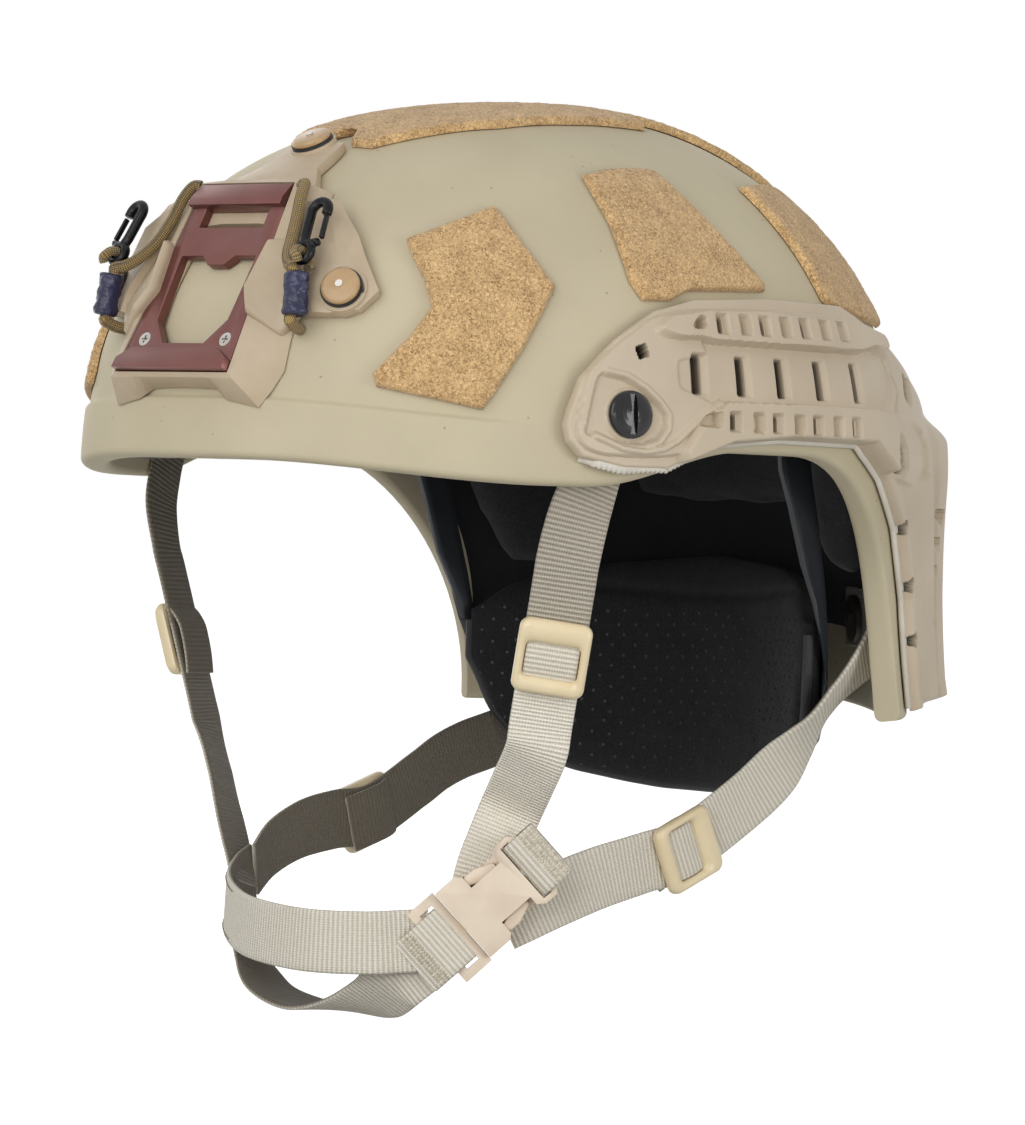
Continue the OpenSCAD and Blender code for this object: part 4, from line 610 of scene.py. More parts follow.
def refine(rows: Rows, n: int, m: int) -> Grid:
    """Refines a panel's rows of points to n by m cells.

    Args:
        rows: rows of points, from the top down.
        n: cells down.
        m: cells across.

    Returns:
        The points, n + 1 rows of m + 1.
    """
    def spread(points: Grid, count: int) -> Grid:
        """Points spread evenly along a list of corner points."""
        s = np.linspace(0, len(points) - 1, count + 1)
        k = np.minimum(s.astype(int), len(points) - 2)
        w = (s - k).reshape((-1,) + (1,) * (points.ndim - 1))
        return points[k] * (1 - w) + points[k + 1] * w

    across = np.stack([spread(np.asarray(row, float), m) for row in rows])
    return spread(across, n)


def backed(outer: Grid, inner: Grid, step: int) -> Mesh:
    """A closed solid between two grids of the same size, with a back of cells step points apart.

    Args:
        outer: the points that are seen, row by row from the top down.
        inner: the points behind them.
        step: cells of the front for each cell of the back.

    Returns:
        Points and faces.
    """
    n, m = outer.shape[:2]
    ri = sorted(set(range(0, n, step)) | {n - 1})
    cj = sorted(set(range(0, m, step)) | {m - 1})
    index: dict[tuple[int, int], int] = {}
    kept: list[Grid] = []

    def back(i: int, j: int) -> int:
        """Index of a point of the back."""
        if (i, j) not in index:
            index[i, j] = n * m + len(kept)
            kept.append(inner[i, j])
        return index[i, j]

    faces = grid_faces(n, m)
    for a, b in zip(ri, ri[1:]):
        for c, d in zip(cj, cj[1:]):
            ring = [(a, j) for j in (range(c, d) if a == 0 else (c,))]
            ring += [(i, d) for i in (range(a, b) if d == m - 1 else (a,))]
            ring += [(b, j) for j in (range(d, c, -1) if b == n - 1 else (d,))]
            ring += [(i, c) for i in (range(b, a, -1) if c == 0 else (b,))]
            faces.append(tuple(back(*p) for p in reversed(ring)))
    rim = ([(0, j) for j in range(m)] + [(i, m - 1) for i in range(1, n)]
           + [(n - 1, j) for j in range(m - 2, -1, -1)] + [(i, 0) for i in range(n - 2, 0, -1)])
    for p, q in zip(rim, rim[1:] + rim[:1]):
        faces.append((p[0] * m + p[1], back(*p), back(*q), q[0] * m + q[1]))
    return np.concatenate([outer.reshape(-1, 3), np.array(kept)]), faces


def joined(parts: Sequence[Mesh]) -> Mesh:
    """Several meshes as one."""
    faces, first = [], 0
    for points, part in parts:
        faces += [tuple(i + first for i in face) for face in part]
        first += len(points)
    return np.concatenate([points for points, _ in parts]), faces


def curve(points: Grid, share: Grid) -> Grid:
    """Points at shares 0 to 1 of a smooth curve through a list of points."""
    p = np.asarray(points, float)
    s = np.clip(share, 0, 1) * (len(p) - 1)
    k = np.minimum(s.astype(int), len(p) - 2)
    t = (s - k)[:, None]
    a, b, c, d = p[np.maximum(k - 1, 0)], p[k], p[k + 1], p[np.minimum(k + 2, len(p) - 1)]
    return 0.5 * (2 * b + (c - a) * t + (2 * a - 5 * b + 4 * c - d) * t**2 + (3 * b - a - 3 * c + d) * t**3)


def unit(v: Grid) -> Grid:
    """Vectors of length 1."""
    v = np.asarray(v, float)
    return v / np.linalg.norm(v, axis=-1, keepdims=True)


def placed(origin: Grid, y: Grid, z: Grid, p: Grid) -> Grid:
    """World place of points given in a frame with its Y along y and its Z towards z."""
    b = unit(y)
    a = unit(np.cross(b, z))
    return np.asarray(origin, float) + np.asarray(p, float) @ np.stack([a, b, np.cross(a, b)])


def along_line(points: Grid, line: Grid) -> Grid:
    """Distance of flat points from an open line of corner points."""
    a = np.asarray(line, float)
    best = np.full(points.shape[:-1], 1e9)
    for p, q in zip(a, a[1:]):
        e = q - p
        w = points - p
        t = np.clip((w @ e) / max(e @ e, 1e-12), 0, 1)
        best = np.minimum(best, np.linalg.norm(w - t[..., None] * e, axis=-1))
    return best


def signed_inside(points: Grid, outline: Grid) -> Grid:
    """Distance of flat points inside an outline, negative outside it.

    Args:
        points: flat points.
        outline: the corners of a closed outline.

    Returns:
        One distance for each point.
    """
    ring = np.asarray(outline, float)
    ring = np.concatenate([ring, ring[:1]])
    inside = np.zeros(points.shape[:-1], bool)
    for p, q in zip(ring, ring[1:]):
        rise = q[1] - p[1]
        x = p[0] + (points[..., 1] - p[1]) * (q[0] - p[0]) / (rise if abs(rise) > 1e-12 else 1e-12)
        inside ^= ((p[1] > points[..., 1]) != (q[1] > points[..., 1])) & (points[..., 0] < x)
    far = along_line(points, ring)
    return np.where(inside, far, -far)


def eased(outline: Grid, times: int = 2) -> Grid:
    """An outline with its corners cut round."""
    p = np.asarray(outline, float)
    for _ in range(times):
        q = np.roll(p, -1, axis=0)
        far = np.linalg.norm(q - p, axis=1)[:, None]
        cut = np.minimum(0.25, 0.9 / np.maximum(far, 1e-6))
        p = np.stack([p + (q - p) * cut, q - (q - p) * cut], 1).reshape(-1, 2)
    return p


def eased_table(table: Rows, at: Grid, width: float) -> Grid:
    """A table's values with its corners rounded over a width."""
    x, y = np.array(table, float).T
    return np.mean([np.interp(np.asarray(at) + d, x, y) for d in np.linspace(-width / 2, width / 2, 9)], axis=0)


def modify(piece: Piece, name: str, kind: str, **settings: object) -> bpy.types.Modifier:
    """Adds a modifier with its settings."""
    made = piece.modifiers.new(name, kind)
    for key, value in settings.items():
        setattr(made, key, value)
    return made


def evaluated(piece: Piece) -> Piece:
    """Turns a piece with its modifiers into a plain mesh."""
    graph = bpy.context.evaluated_depsgraph_get()
    mesh = bpy.data.meshes.new_from_object(piece.evaluated_get(graph))
    piece.modifiers.clear()
    old = piece.data
    piece.data = mesh
    bpy.data.meshes.remove(old)
    return piece


def added(name: str, data: bpy.types.ID) -> Piece:
    """Adds a mesh, a camera or a lamp to the scene as an object."""
    made = bpy.data.objects.new(name, data)
    bpy.context.scene.collection.objects.link(made)
    return made


def read_points(piece: Piece) -> Grid:
    """A piece's points in metres."""
    p = np.empty(len(piece.data.vertices) * 3)
    piece.data.vertices.foreach_get("co", p)
    return p.reshape(-1, 3)


def cad_copy(name: str, node: str, flat: float = 1.5) -> Piece:
    """Copies a CAD node, with doubles merged and flat faces joined.

    Args:
        name: the new piece's name.
        node: the node to copy.
        flat: faces that meet within this angle in degrees become one.

    Returns:
        The object, with no material.
    """
    work = bmesh.new()
    work.from_mesh(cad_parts[node].data)
    bmesh.ops.remove_doubles(work, verts=work.verts, dist=MERGE)
    if flat:
        bmesh.ops.dissolve_limit(work, angle_limit=math.radians(flat), verts=work.verts, edges=work.edges)
    mesh = bpy.data.meshes.new(name)
    work.to_mesh(mesh)
    work.free()
    mesh.materials.clear()
    return added(name, mesh)


def bevelled(piece: Piece, width: float, segments: int = 2, angle: float = 30.0,
             smooth: float = 40.0) -> Piece:
    """Rounds a piece's sharp edges.

    Args:
        piece: the object.
        width: the bevel's width in millimetres.
        segments: steps of each rounding.
        angle: edges sharper than this angle in degrees are rounded.
        smooth: edges past this angle in degrees stay sharp in shading.

    Returns:
        The same object, as a plain mesh.
    """
    modify(piece, "Rounding", "BEVEL", width=width * MM, segments=segments, limit_method="ANGLE",
           angle_limit=math.radians(angle), use_clamp_overlap=True)
    evaluated(piece)
    shade(piece, smooth)
    return piece


def ruffle(points: Grid, size: float, seed: int) -> Grid:
    """Even random swell between about -1 and 1, from fixed waves.

    Args:
        points: the points, in millimetres.
        size: length of a swell in millimetres.
        seed: number that fixes the waves.

    Returns:
        One value for each point.
    """
    waves = 14
    rng = np.random.default_rng(seed)
    ways = unit(rng.normal(size=(waves, 3))) * 2 * np.pi / (size * rng.uniform(0.75, 1.35, (waves, 1)))
    starts = rng.uniform(0, 2 * np.pi, waves)
    return np.sin(points @ ways.T + starts).sum(-1) / math.sqrt(waves) * 0.8


def layer(height: Grid, inside: Grid, level: float | Grid, edge: float = 0.8) -> Grid:
    """Lays a flat region over a height field.

    Args:
        height: the heights so far.
        inside: distance inside the region.
        level: the region's height.
        edge: width of its sloping edge in millimetres.

    Returns:
        The new heights.
    """
    w = ramp(inside, -edge / 2, edge / 2)
    return height * (1 - w) + level * w


def rounded_box(points: Grid, middle: Sequence[float], half: Sequence[float], turn: float = 0.0,
                corner: float = 0.4) -> Grid:
    """Distance inside a turned rectangle with rounded corners, on flat points."""
    a = math.radians(turn)
    d = points - np.asarray(middle, float)
    x = d[..., 0] * math.cos(a) + d[..., 1] * math.sin(a)
    y = -d[..., 0] * math.sin(a) + d[..., 1] * math.cos(a)
    qx, qy = np.abs(x) - half[0] + corner, np.abs(y) - half[1] + corner
    return corner - np.hypot(np.maximum(qx, 0), np.maximum(qy, 0)) - np.minimum(np.maximum(qx, qy), 0)


# --- shell


@dataclass
class Shell:
    """The painted shell: a moulded dome with a rounded rim and a raised brim band."""

    rim_round: float = 2.4
    bare_rim: float = 9.0
    rows_up: int = 46
    inner_rows: int = 18

    def angles(self) -> Grid:
        """Columns of the mesh, closer where the ear opening turns."""
        arc = FORM.ear_back + (FORM.ear_rear - FORM.ear_back) * np.sin(np.linspace(0, np.pi / 2, 26))
        half = np.concatenate([np.linspace(0, FORM.ear_back, 64)[:-1], arc, np.linspace(FORM.ear_rear, 180, 32)[1:]])
        return np.concatenate([half, -half[-2:0:-1]])

    def build(self) -> None:
        """Makes the shell, painted outside and lined inside."""
        angle = self.angles()
        edge = FORM.edge(angle)
        proud = FORM.band_proud * (1 - ramp(np.abs(angle), 42, 50))
        turn = FORM.turned(angle, edge)
        r, t = self.rim_round, np.radians(np.linspace(0, 90, 6))
        rows = []

        def row(level: Grid, off: Grid) -> None:
            """Adds a row of points."""
            level = np.minimum(level, FORM.crown_up)
            rows.append(FORM.skin(turn, level) + np.broadcast_to(off, turn.shape)[:, None] * FORM.normal(turn, level))

        top = FORM.crown_up
        for k in range(self.inner_rows - 1, 0, -1):
            s = math.sin(math.pi / 2 * k / (self.inner_rows - 0.65))
            row(edge + self.bare_rim + (top - edge - self.bare_rim) * s, -FORM.wall)
        row(edge + self.bare_rim, -FORM.wall)
        for a in t:
            row(edge + r - r * np.sin(a), -FORM.wall + r - r * np.cos(a))
        for a in t:
            row(edge + r - r * np.cos(a), proud - r + r * np.sin(a))
        for share in (0.35, 0.7, 0.92):
            row(edge + FORM.band * share, proud)
        for lift, part in ((-0.35, 0.97), (0.15, 0.75), (0.6, 0.3), (1.0, 0.06), (1.5, 0.0)):
            row(edge + FORM.band + lift, proud * part)
        start = edge + FORM.band + 2.2
        for k in range(self.rows_up):
            row(start + (top - start) * math.sin(math.pi / 2 * k / self.rows_up), 0.0)
        n, m = len(rows), len(angle)
        crown = FORM.skin(0, top)[None]
        points = np.concatenate([np.concatenate(rows), crown, crown - [0, 0, FORM.wall]])
        faces = grid_faces(n, m, wrap=True)
        faces += [((n - 1) * m + j, (n - 1) * m + (j + 1) % m, n * m) for j in range(m)]
        faces += [((j + 1) % m, j, n * m + 1) for j in range(m)]
        made = make_piece("shell_painted", points, faces, SHELL_PAINT, 50)
        made.data.materials.append(SHELL_LINING.material())
        lined = (self.inner_rows - 1) * m
        for face in made.data.polygons:
            if all(v < lined or v == n * m + 1 for v in face.vertices):
                face.material_index = 1
        mount(made, "helmet", "shell")


# --- rails


@dataclass
class Rail:
    """A side rail: a flange, a plateau, two lips with a slotted channel between, and a rear leg."""

    side: Side
    per_degree: float = 2.05
    seat: float = 1.65
    flange_up: float = 2.9
    plateau_up: float = 7.2
    channel_up: float = 6.3
    octagon_up: float = 7.6
    recess_up: float = 5.6
    bead_seat: float = 5.4
    notch_up: float = 8.2
    open_up: float = 0.9
    split: float = 110.0
    low: Rows = ((52, 12), (52.4, 8), (54.4, 3.3), (60.5, .8), (67.7, .8), (70.4, 3.4), (77.9, 8.9), (90.4, 11.2),
                 (114, 11))
    high: Rows = ((52, 13.5), (52.4, 17), (54.2, 27), (59.3, 37.9), (66.2, 46.7), (74.3, 50.7), (90.5, 52.4),
                  (114, 52))
    leg_front: Rows = ((-71, 134.5), (-64, 134), (-36, 131.6), (-14, 125.8), (.9, 118), (8.2, 112), (11.1, 110))
    leg_back: Rows = ((-71, 146), (-62, 149.5), (24, 149.5), (31, 140), (38, 130), (46, 120), (52, 111))
    leg_share: Rows = ((0, 2.6), (.06, 2.8), (.10, 5.0), (.29, 8.0), (.47, 10.4), (.5, 8.8), (.62, 9.4), (.66, 11.2),
                       (.78, 13.6), (.92, 14.0), (.965, 7), (1, 2.8))
    plateau: Rows = ((53.4, 8), (53, 11.3), (54, 23.1), (54.9, 29.3), (58.9, 35.7), (64.7, 43.9), (69.6, 46.7),
                     (76.8, 47.7), (92, 48.6), (102.9, 48.4), (111, 47.4), (118, 43.5), (128, 33.5), (137, 26),
                     (147, 16), (147, -5), (77, -5), (76.2, 8), (72.5, 6.6), (69.2, 4.9), (66, 4), (61, 3.8), (57, 4),
                     (54.6, 5.4))
    recess: Rows = ((54.3, 9.8), (55.4, 20.9), (56.1, 26.5), (57.7, 28.3), (60.8, 27.2), (63.8, 23.9), (66.3, 19.9),
                    (67.4, 16.4), (67.1, 12.1), (65.8, 8.8), (64.2, 7.6), (60.3, 8), (56.1, 9.3))
    ridge: Rows = ((57.5, 28.1), (60.5, 27), (63.5, 23.7), (65.9, 19.7), (67.2, 16.3), (67, 12), (65.6, 8.5),
                   (63.9, 7.3))
    bead: Rows = ((55.9, 9.4), (59.8, 6.3), (63.2, 5.6), (66.3, 6.8), (68.6, 9.3), (71.3, 13.8), (74.1, 17.9),
                  (76.2, 20.2))
    lower_lip: Rows = ((69.6, 6.2), (72.2, 13), (74.7, 17.2), (76.6, 20.4), (83.3, 20.6), (95.9, 20.7), (109.6, 20.7),
                       (115.8, 19.4), (117.6, 13), (117, 5), (110, -5), (72, -5))
    upper_lip: Rows = ((65.7, 40.1), (69.4, 38.1), (72.5, 38.5), (75.5, 37.6), (84.6, 37.5), (94, 37.4), (104.7, 37.1),
                       (109.5, 37.4), (113.5, 38.9), (118.8, 38.4), (118.2, 42), (110.9, 44.6), (99.5, 45.2),
                       (86.5, 46.1), (74.7, 45.4), (67.8, 43.4))
    octagon: Rows = ((120.7, 20), (126.3, 17.5), (131.8, 11.5), (132.4, 5), (127, -.6), (120.5, .6), (117.4, 4.4),
                     (116.6, 14))
    channel: Rows = ((73.4, 38.5), (74.6, 34), (69, 32), (69, 24.4), (75, 20.3), (116, 20.3), (119.5, 30), (120, 38.5))
    slots: Sequence[float] = (72.5, 81.2, 89.7, 98.6, 108.0)
    upper_notches: Sequence[float] = (76.8, 81.5, 85.7, 90.4, 95.0, 99.8, 104.4)
    lower_notches: Sequence[float] = (77.9, 82.5, 86.4, 91.0, 95.1, 99.6, 104.0)
    half_rounds: Sequence[float] = (-13.4, -31.3, -48.7)
    leg_pockets: Sequence[float] = (-10.7, -19.7, -28.7, -37.6, -46.3)
    slot_level: float = 28.5
    notch_levels: tuple[float, float] = (42.1, 15.0)
    bolt: tuple[float, float] = (60.9, 16.0)
    slanted: tuple[float, float] = (127.3, 29.4)
    crook: tuple[float, float] = (119.6, 8.0)
    lip_top: float = 10.4
    creases: Sequence[Rows] = (((119, 36), (121.5, 27), (119.5, 21)), ((121, 43), (132, 31), (138, 25.5)))
    triangles: Sequence[Rows] = (((71.1, 40.6), (72.4, 43.5), (73.8, 44.1), (73.6, 40.7)),
                                 ((71.8, 13.6), (73.5, 16.9), (75.5, 18), (75.5, 13.4)))

    def flat(self, points: Sequence) -> Grid:
        """Angle and level turned to millimetres across and up."""
        return np.asarray(points, float) * [self.per_degree, 1.0]

    def inside(self, where: Grid, outline: Rows) -> Grid:
        """Distance inside an outline given by angles and levels."""
        return signed_inside(where, eased(self.flat(outline)))

    def notches(self) -> list[tuple[int, Grid]]:
        """Each notch's number in its row, and its middle."""
        rows = zip((self.upper_notches, self.lower_notches), self.notch_levels)
        return [(i, self.flat((a, rise))) for angles, rise in rows for i, a in enumerate(angles)]

    def eight_sided(self, where: Grid, half: float) -> Grid:
        """Distance inside the eight-sided opening at the rail's crook."""
        x, y = np.moveaxis(np.abs(where - self.flat(self.crook)), -1, 0)
        return half - np.maximum(np.maximum(x, y), (x + y) / 1.38)

    def openings(self, where: Grid) -> Grid:
        """Distance inside the nearest opening that goes right through, negative outside."""
        found = [rounded_box(where, self.flat((a, self.slot_level)), (1.8, 5.4), corner=0.7) for a in self.slots]
        found += [rounded_box(where, at - [0.2, 0], (1.2, 1.8), corner=0.3) for i, at in self.notches() if i % 2 == 0]
        found.append(rounded_box(where, self.flat((63, 34)), (1.7, 1.7), 20, 0.3))
        found.append(rounded_box(where, self.flat(self.slanted), (2.2, 5.2), -24, 1.6))
        found.append(self.eight_sided(where, 4.9))
        for z in self.half_rounds:
            edge = self.flat((look_up(self.leg_front, z) + 1.0, z))
            found.append(2.2 - np.hypot(*(where - edge).T).T)
        return np.max(found, axis=0)

    def height(self, angle: Grid, level: Grid) -> Grid:
        """Height of the rail's face above its seat on the shell.

        Args:
            angle: angles about the helmet in degrees.
            level: levels.

        Returns:
            Heights off the shell in millimetres.
        """
        w = self.flat(np.stack([angle, level], -1))
        h = layer(np.full(angle.shape, self.flange_up), self.inside(w, self.plateau), self.plateau_up, 2.2)
        front, back = look_up(self.leg_front, level), look_up(self.leg_back, level)
        leg = look_up(self.leg_share, (angle - front) / (back - front))
        leg = 2.7 + (leg - 2.7) * ramp(level, -70.4, -67)
        low = ramp(angle, 114, 118) * (1 - ramp(level, 12, 22))
        h = h * (1 - low) + leg * low
        h = layer(h, self.inside(w, self.channel), self.channel_up, 1.0)
        for outline, way, edge, start in ((self.upper_lip, 1, 41.2, 67), (self.lower_lip, -1, 15.0, 70)):
            steep = ramp((edge - level) * way, -0.6, 0.6) * ramp(angle, start, start + 4) * (1 - ramp(angle, 113, 117))
            h = np.maximum(h, self.lip_top + (2.3 + 7 * steep) * np.minimum(self.inside(w, outline), 0))
        h = layer(h, self.inside(w, self.octagon), self.octagon_up, 1.6)
        h = layer(h, self.inside(w, self.recess), self.recess_up, 1.2)
        for line, rise, wide in ((self.ridge, 2.6, 1.9), (self.bead, 3.0, 2.0)):
            h = np.maximum(h, self.bead_seat + rise * (1 - ramp(along_line(w, self.flat(line)), 0.3, wide)))
        h = layer(h, 7.6 - np.hypot(*(w - self.flat(self.bolt)).T).T, 6.5, 0.8)
        for a in self.slots:
            middle = self.flat((a, self.slot_level)) + [1.0, 0]
            h = layer(h, rounded_box(w, middle, (2.9, 5.7), corner=0.8), 5.3, 1.4)
        for i, middle in self.notches():
            h = layer(h, rounded_box(w, middle + [0.3, 0], (2.2, 2.6), corner=0.5), self.notch_up, 1.2)
            if i % 2:
                h = layer(h, rounded_box(w, middle, (1.5, 1.9), corner=0.3), 7.0, 0.8)
        for outline in self.triangles:
            h = layer(h, self.inside(w, outline), 6.0, 0.8)
        h = layer(h, rounded_box(w, self.flat(self.slanted), (3.4, 6.4), -24, 2.4), 6.0, 1.4)
        h = layer(h, self.eight_sided(w, 6.1), 6.2, 1.4)
        h = layer(h, self.openings(w), self.open_up, 0.5)
        for z in self.leg_pockets:
            sloped = 8.0 + 5.6 * np.clip((z + 3.8 - level) / 7.6, 0, 1)
            inside = rounded_box(w, self.flat((141.3, z)), (2.9, 3.7), 0, 0.4)
            h = np.where(inside > 0, np.minimum(h, sloped), h)
        for line in self.creases:
            h = h - 0.8 * (1 - ramp(along_line(w, self.flat(line)), 0.2, 0.9))
        return h

    def rounded_edge(self, height: Grid, border: Grid) -> Grid:
        """Heights rounded down towards the outline."""
        e = np.clip(border / 1.1, 0, 1)
        return self.seat + (height - self.seat) * (0.35 + 0.65 * np.sqrt(1 - (1 - e) ** 2))

    def grids(self) -> tuple[tuple[Grid, Grid], ...]:
        """Angles and levels of the front and the rear grid, joined at the split."""
        a1 = np.concatenate([52 + 2.4 * np.linspace(0, 1, 12)[:-1] ** 1.6, np.linspace(54.4, self.split, 270)])
        s = np.linspace(0, 1, 110)
        near = ramp(a1, 54.4, 57)
        low, high = (look_up(t, a1) * (1 - near) + eased_table(t, a1, 4) * near for t in (self.low, self.high))
        z1 = high[None, :] + (low - high)[None, :] * s[:, None]
        z_top = z1[:, -1]
        z2 = np.concatenate([z_top, np.linspace(z_top[-1], -71, 172)[1:]])
        front, back = look_up(self.leg_front, z2), look_up(self.leg_back, z2)
        front[: len(s)] = self.split
        a2 = front[:, None] + (back - front)[:, None] * np.linspace(0, 1, 108)[None, :]
        return (np.broadcast_to(a1, z1.shape), z1), (a2, np.broadcast_to(z2[:, None], a2.shape))

    def outline(self) -> Grid:
        """The rail's outline in millimetres across and up."""
        ends = ([(a, z) for a, z in self.low if a < self.split] + [(self.split, 11.05)]
                + [(a, z) for z, a in self.leg_front[::-1][1:]] + [(a, z) for z, a in self.leg_back]
                + [(a, z) for a, z in self.high[::-1] if a < self.split])
        return self.flat(ends)

    def build(self) -> None:
        """Makes the rail."""
        parts, opening_shade = [], []
        outline = self.outline()
        for angle, level in self.grids():
            where = self.flat(np.stack([angle, level], -1))
            # The openings' bottoms, which the rail's finish paints near black as painted shade.
            deep = ramp(self.openings(where), -0.3, 0.05)
            h = self.rounded_edge(self.height(angle, level), np.maximum(signed_inside(where, outline), 0))
            parts.append(backed(FORM.at(angle, level, h), FORM.at(angle, level, np.full(h.shape, self.seat)), 9))
            opening_shade += [deep.ravel(), np.zeros(len(parts[-1][0]) - deep.size)]
        word = self.side.word
        made = make_piece(f"rail_moulding_{word}", *joined(parts), RAIL_NYLON, 38, self.side.right)
        give_value(made, "open", np.concatenate(opening_shade))
        self.close_join(made)
        mount(made, "helmet", f"rail_{word}")

    def close_join(self, piece: Piece) -> None:
        """Merges the two grids along the split and drops the wall between them."""
        work = bmesh.new()
        work.from_mesh(piece.data)
        bmesh.ops.remove_doubles(work, verts=work.verts, dist=MERGE)
        seen: dict[frozenset, list] = {}
        for f in work.faces:
            seen.setdefault(frozenset(v.index for v in f.verts), []).append(f)
        bmesh.ops.delete(work, geom=[f for both in seen.values() if len(both) > 1 for f in both], context="FACES_ONLY")
        work.to_mesh(piece.data)
        work.free()
        shade(piece, 38)


@dataclass
class RailStrip:
    """The pale rubber strip under a rail, which shows along its lower and front edges."""

    side: Side
    seat: float = 0.5
    top: float = 2.3
    rib: float = 1.55
    lift: float = 2.4

    def line(self) -> Grid:
        """Angles and levels along the strip's outer edge, with its ribs."""
        low = [(a, look_up(Rail.low, a)) for a in np.linspace(54.6, 109.8, 560)]
        leg = [(look_up(Rail.leg_front, z), z) for z in np.linspace(10.9, -70, 420)]
        return np.array(low + leg)

    def build(self) -> None:
        """Makes the strip."""
        line = self.line()
        flat = line * [Rail.per_degree, 1.0]
        t = unit(np.gradient(flat, axis=0))
        out = np.stack([t[:, 1], -t[:, 0]], -1)
        ribs = 0.5 + 0.5 * np.cos(2 * np.pi * run_lengths(flat) / self.rib)
        ribbed = (1 - ramp(line[:, 0], 70, 73)) * ramp(line[:, 0], 55.5, 57)
        wide = 1.1 + 0.9 * ramp(line[:, 0], 66, 60) * ribbed - 0.5 * ribs * ribbed
        section = [(-2.2, self.seat), (0.4, self.seat), (0.75, self.seat + 0.25), (1.0, 1.0), (1.0, 1.5), (0.7, 2.0),
                   (0.2, self.top), (-2.2, self.top)]
        rings = []
        for x, off in section:
            p = flat + out * (x * wide if x > 0 else np.full(len(wide), x))[:, None]
            rings.append(FORM.at(p[:, 0] / Rail.per_degree, p[:, 1], off + self.lift * ribbed))
        points = np.stack(rings, 1)
        faces = capped(*points.shape[:2], flip=True)
        made = make_piece(f"rail_strip_{self.side.word}", points, faces, PAD_RUBBER, 50, self.side.right)
        mount(made, "helmet", f"rail_pad_{self.side.word}")


# --- loop fields


@dataclass
class LoopField:
    """A die-cut field of loop pile glued to the shell, thick in the middle and crushed at its edge."""

    seat: float = 0.35
    thick: float = 2.5
    pitch: float = 1.0
    border: float = 1.7

    def piece(self, name: str, rows: Rows, place: Callable[[Grid, Grid, Grid], Grid], seed: int,
              mirror: bool = False) -> Piece:
        """Makes a field from its rows of corners.

        Args:
            name: the piece's name.
            rows: rows of corners, from the top down.
            place: turns two surface coordinates and a height to points.
            seed: number that fixes its unevenness.
            mirror: whether it is on the wearer's right.

        Returns:
            The object.
        """
        corners = refine(rows, 8 * (len(rows) - 1), 8)
        rough = place(corners[..., 0], corners[..., 1], np.zeros(corners.shape[:2]))
        down, over = gaps(rough).sum(0).max(), gaps(rough, 1).sum(1).max()
        n, m = int(down / self.pitch) + 2, int(over / self.pitch) + 2
        n = (len(rows) - 1) * max(1, round(n / (len(rows) - 1)))
        # Rows and columns crowd towards the edge, where the field rounds off.
        x, y = np.moveaxis(refine(rows, n, m), -1, 0)
        flat = place(x, y, np.zeros(x.shape))
        run_v = np.concatenate([np.zeros((1, x.shape[1])), np.cumsum(gaps(flat), 0)])
        run_u = np.concatenate([np.zeros((x.shape[0], 1)), np.cumsum(gaps(flat, 1), 1)], 1)
        edge = np.minimum(np.minimum(run_v, run_v[-1:] - run_v), np.minimum(run_u, run_u[:, -1:] - run_u))
        e = np.clip(edge / self.border, 0, 1)
        pile = self.thick * (0.42 + 0.58 * np.sqrt(1 - (1 - e) ** 2))
        pile += (0.16 * ruffle(flat, 2.6, seed) + 0.10 * ruffle(flat, 9.0, seed + 1)) * (0.3 + 0.7 * e)
        points, faces = backed(place(x, y, self.seat + pile), place(x, y, np.full(x.shape, self.seat)), 8)
        return mount(make_piece(name, points, faces, LOOP_PILE, 60, mirror), "helmet")


@dataclass
class LoopFields:
    """All the loop fields on the shell."""

    chevron: Rows = (((28.7, 65.8), (41.2, 77)), ((30.2, 60.5), (44.5, 69.5)), ((32.2, 54.5), (47.8, 61.5)),
                     ((33.8, 46), (51, 53.5)), ((31.2, 36.5), (46.5, 35)), ((27.2, 25.8), (42.4, 20)),
                     ((27.8, 22.1), (41.2, 16.4)))
    side: Rows = (((58.6, 88), (64, 90.2), (71, 91.2), (78, 91.2)), ((62, 73.3), (70, 74), (79, 74.5), (86.5, 73.6)),
                  ((64, 56), (72, 56.5), (79, 57.5), (94, 57.6)), ((65.8, 51), (71, 51.2), (75, 54.6), (93.6, 56)))
    rear: Rows = (((107.5, 88.6), (118, 90), (131, 90)), ((109.2, 72), (124, 72), (140, 70)),
                  ((110.4, 55), (124, 54.5), (143, 56)), ((111.5, 53.4), (125, 49.8), (141, 49)))
    crown_front: Rows = ((-80, 17.5), (-72, 23.5), (-65, 28), (-46, 38.4), (-21, 43), (0, 44.4), (11, 44), (14, 41))
    crown_rear: Rows = ((19, 33), (22, 35.5), (34, 39), (50, 45), (64, 47), (72, 44))
    notch_end: float = -68.0

    def build(self) -> None:
        """Makes the fields on both sides and on the crown."""
        for side in Side:
            for number, (word, rows) in enumerate((("front", self.chevron), ("side", self.side), ("rear", self.rear))):
                seed = 10 * number + 3 + side.right
                made = LoopField().piece(f"loop_field_{word}_{side.word}", rows, FORM.at, seed, side.right)
                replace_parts(made, f"loop_{word}_{side.word}")
        self.crown("crown", self.crown_front, 71, 8.0)
        self.crown("crown_rear", self.crown_rear, 81, 0.0)

    def crown(self, word: str, widths: Rows, seed: int, notch: float) -> None:
        """Makes a field on the crown.

        Args:
            word: its part of the names.
            widths: places from front to rear and half widths there.
            seed: number that fixes its unevenness.
            notch: half width of the notch in its front edge.
        """
        rows = [[(half * share, y) for share in (1, 0.5, 0, -0.5, -1)] for y, half in sorted(widths, reverse=True)]
        if notch:
            rows[-1] = [(x, max(y, self.notch_end) if abs(x) < notch else y) for x, y in rows[-1]]
        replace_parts(LoopField().piece(f"loop_field_{word}", rows, FORM.over, seed), f"loop_{word}")


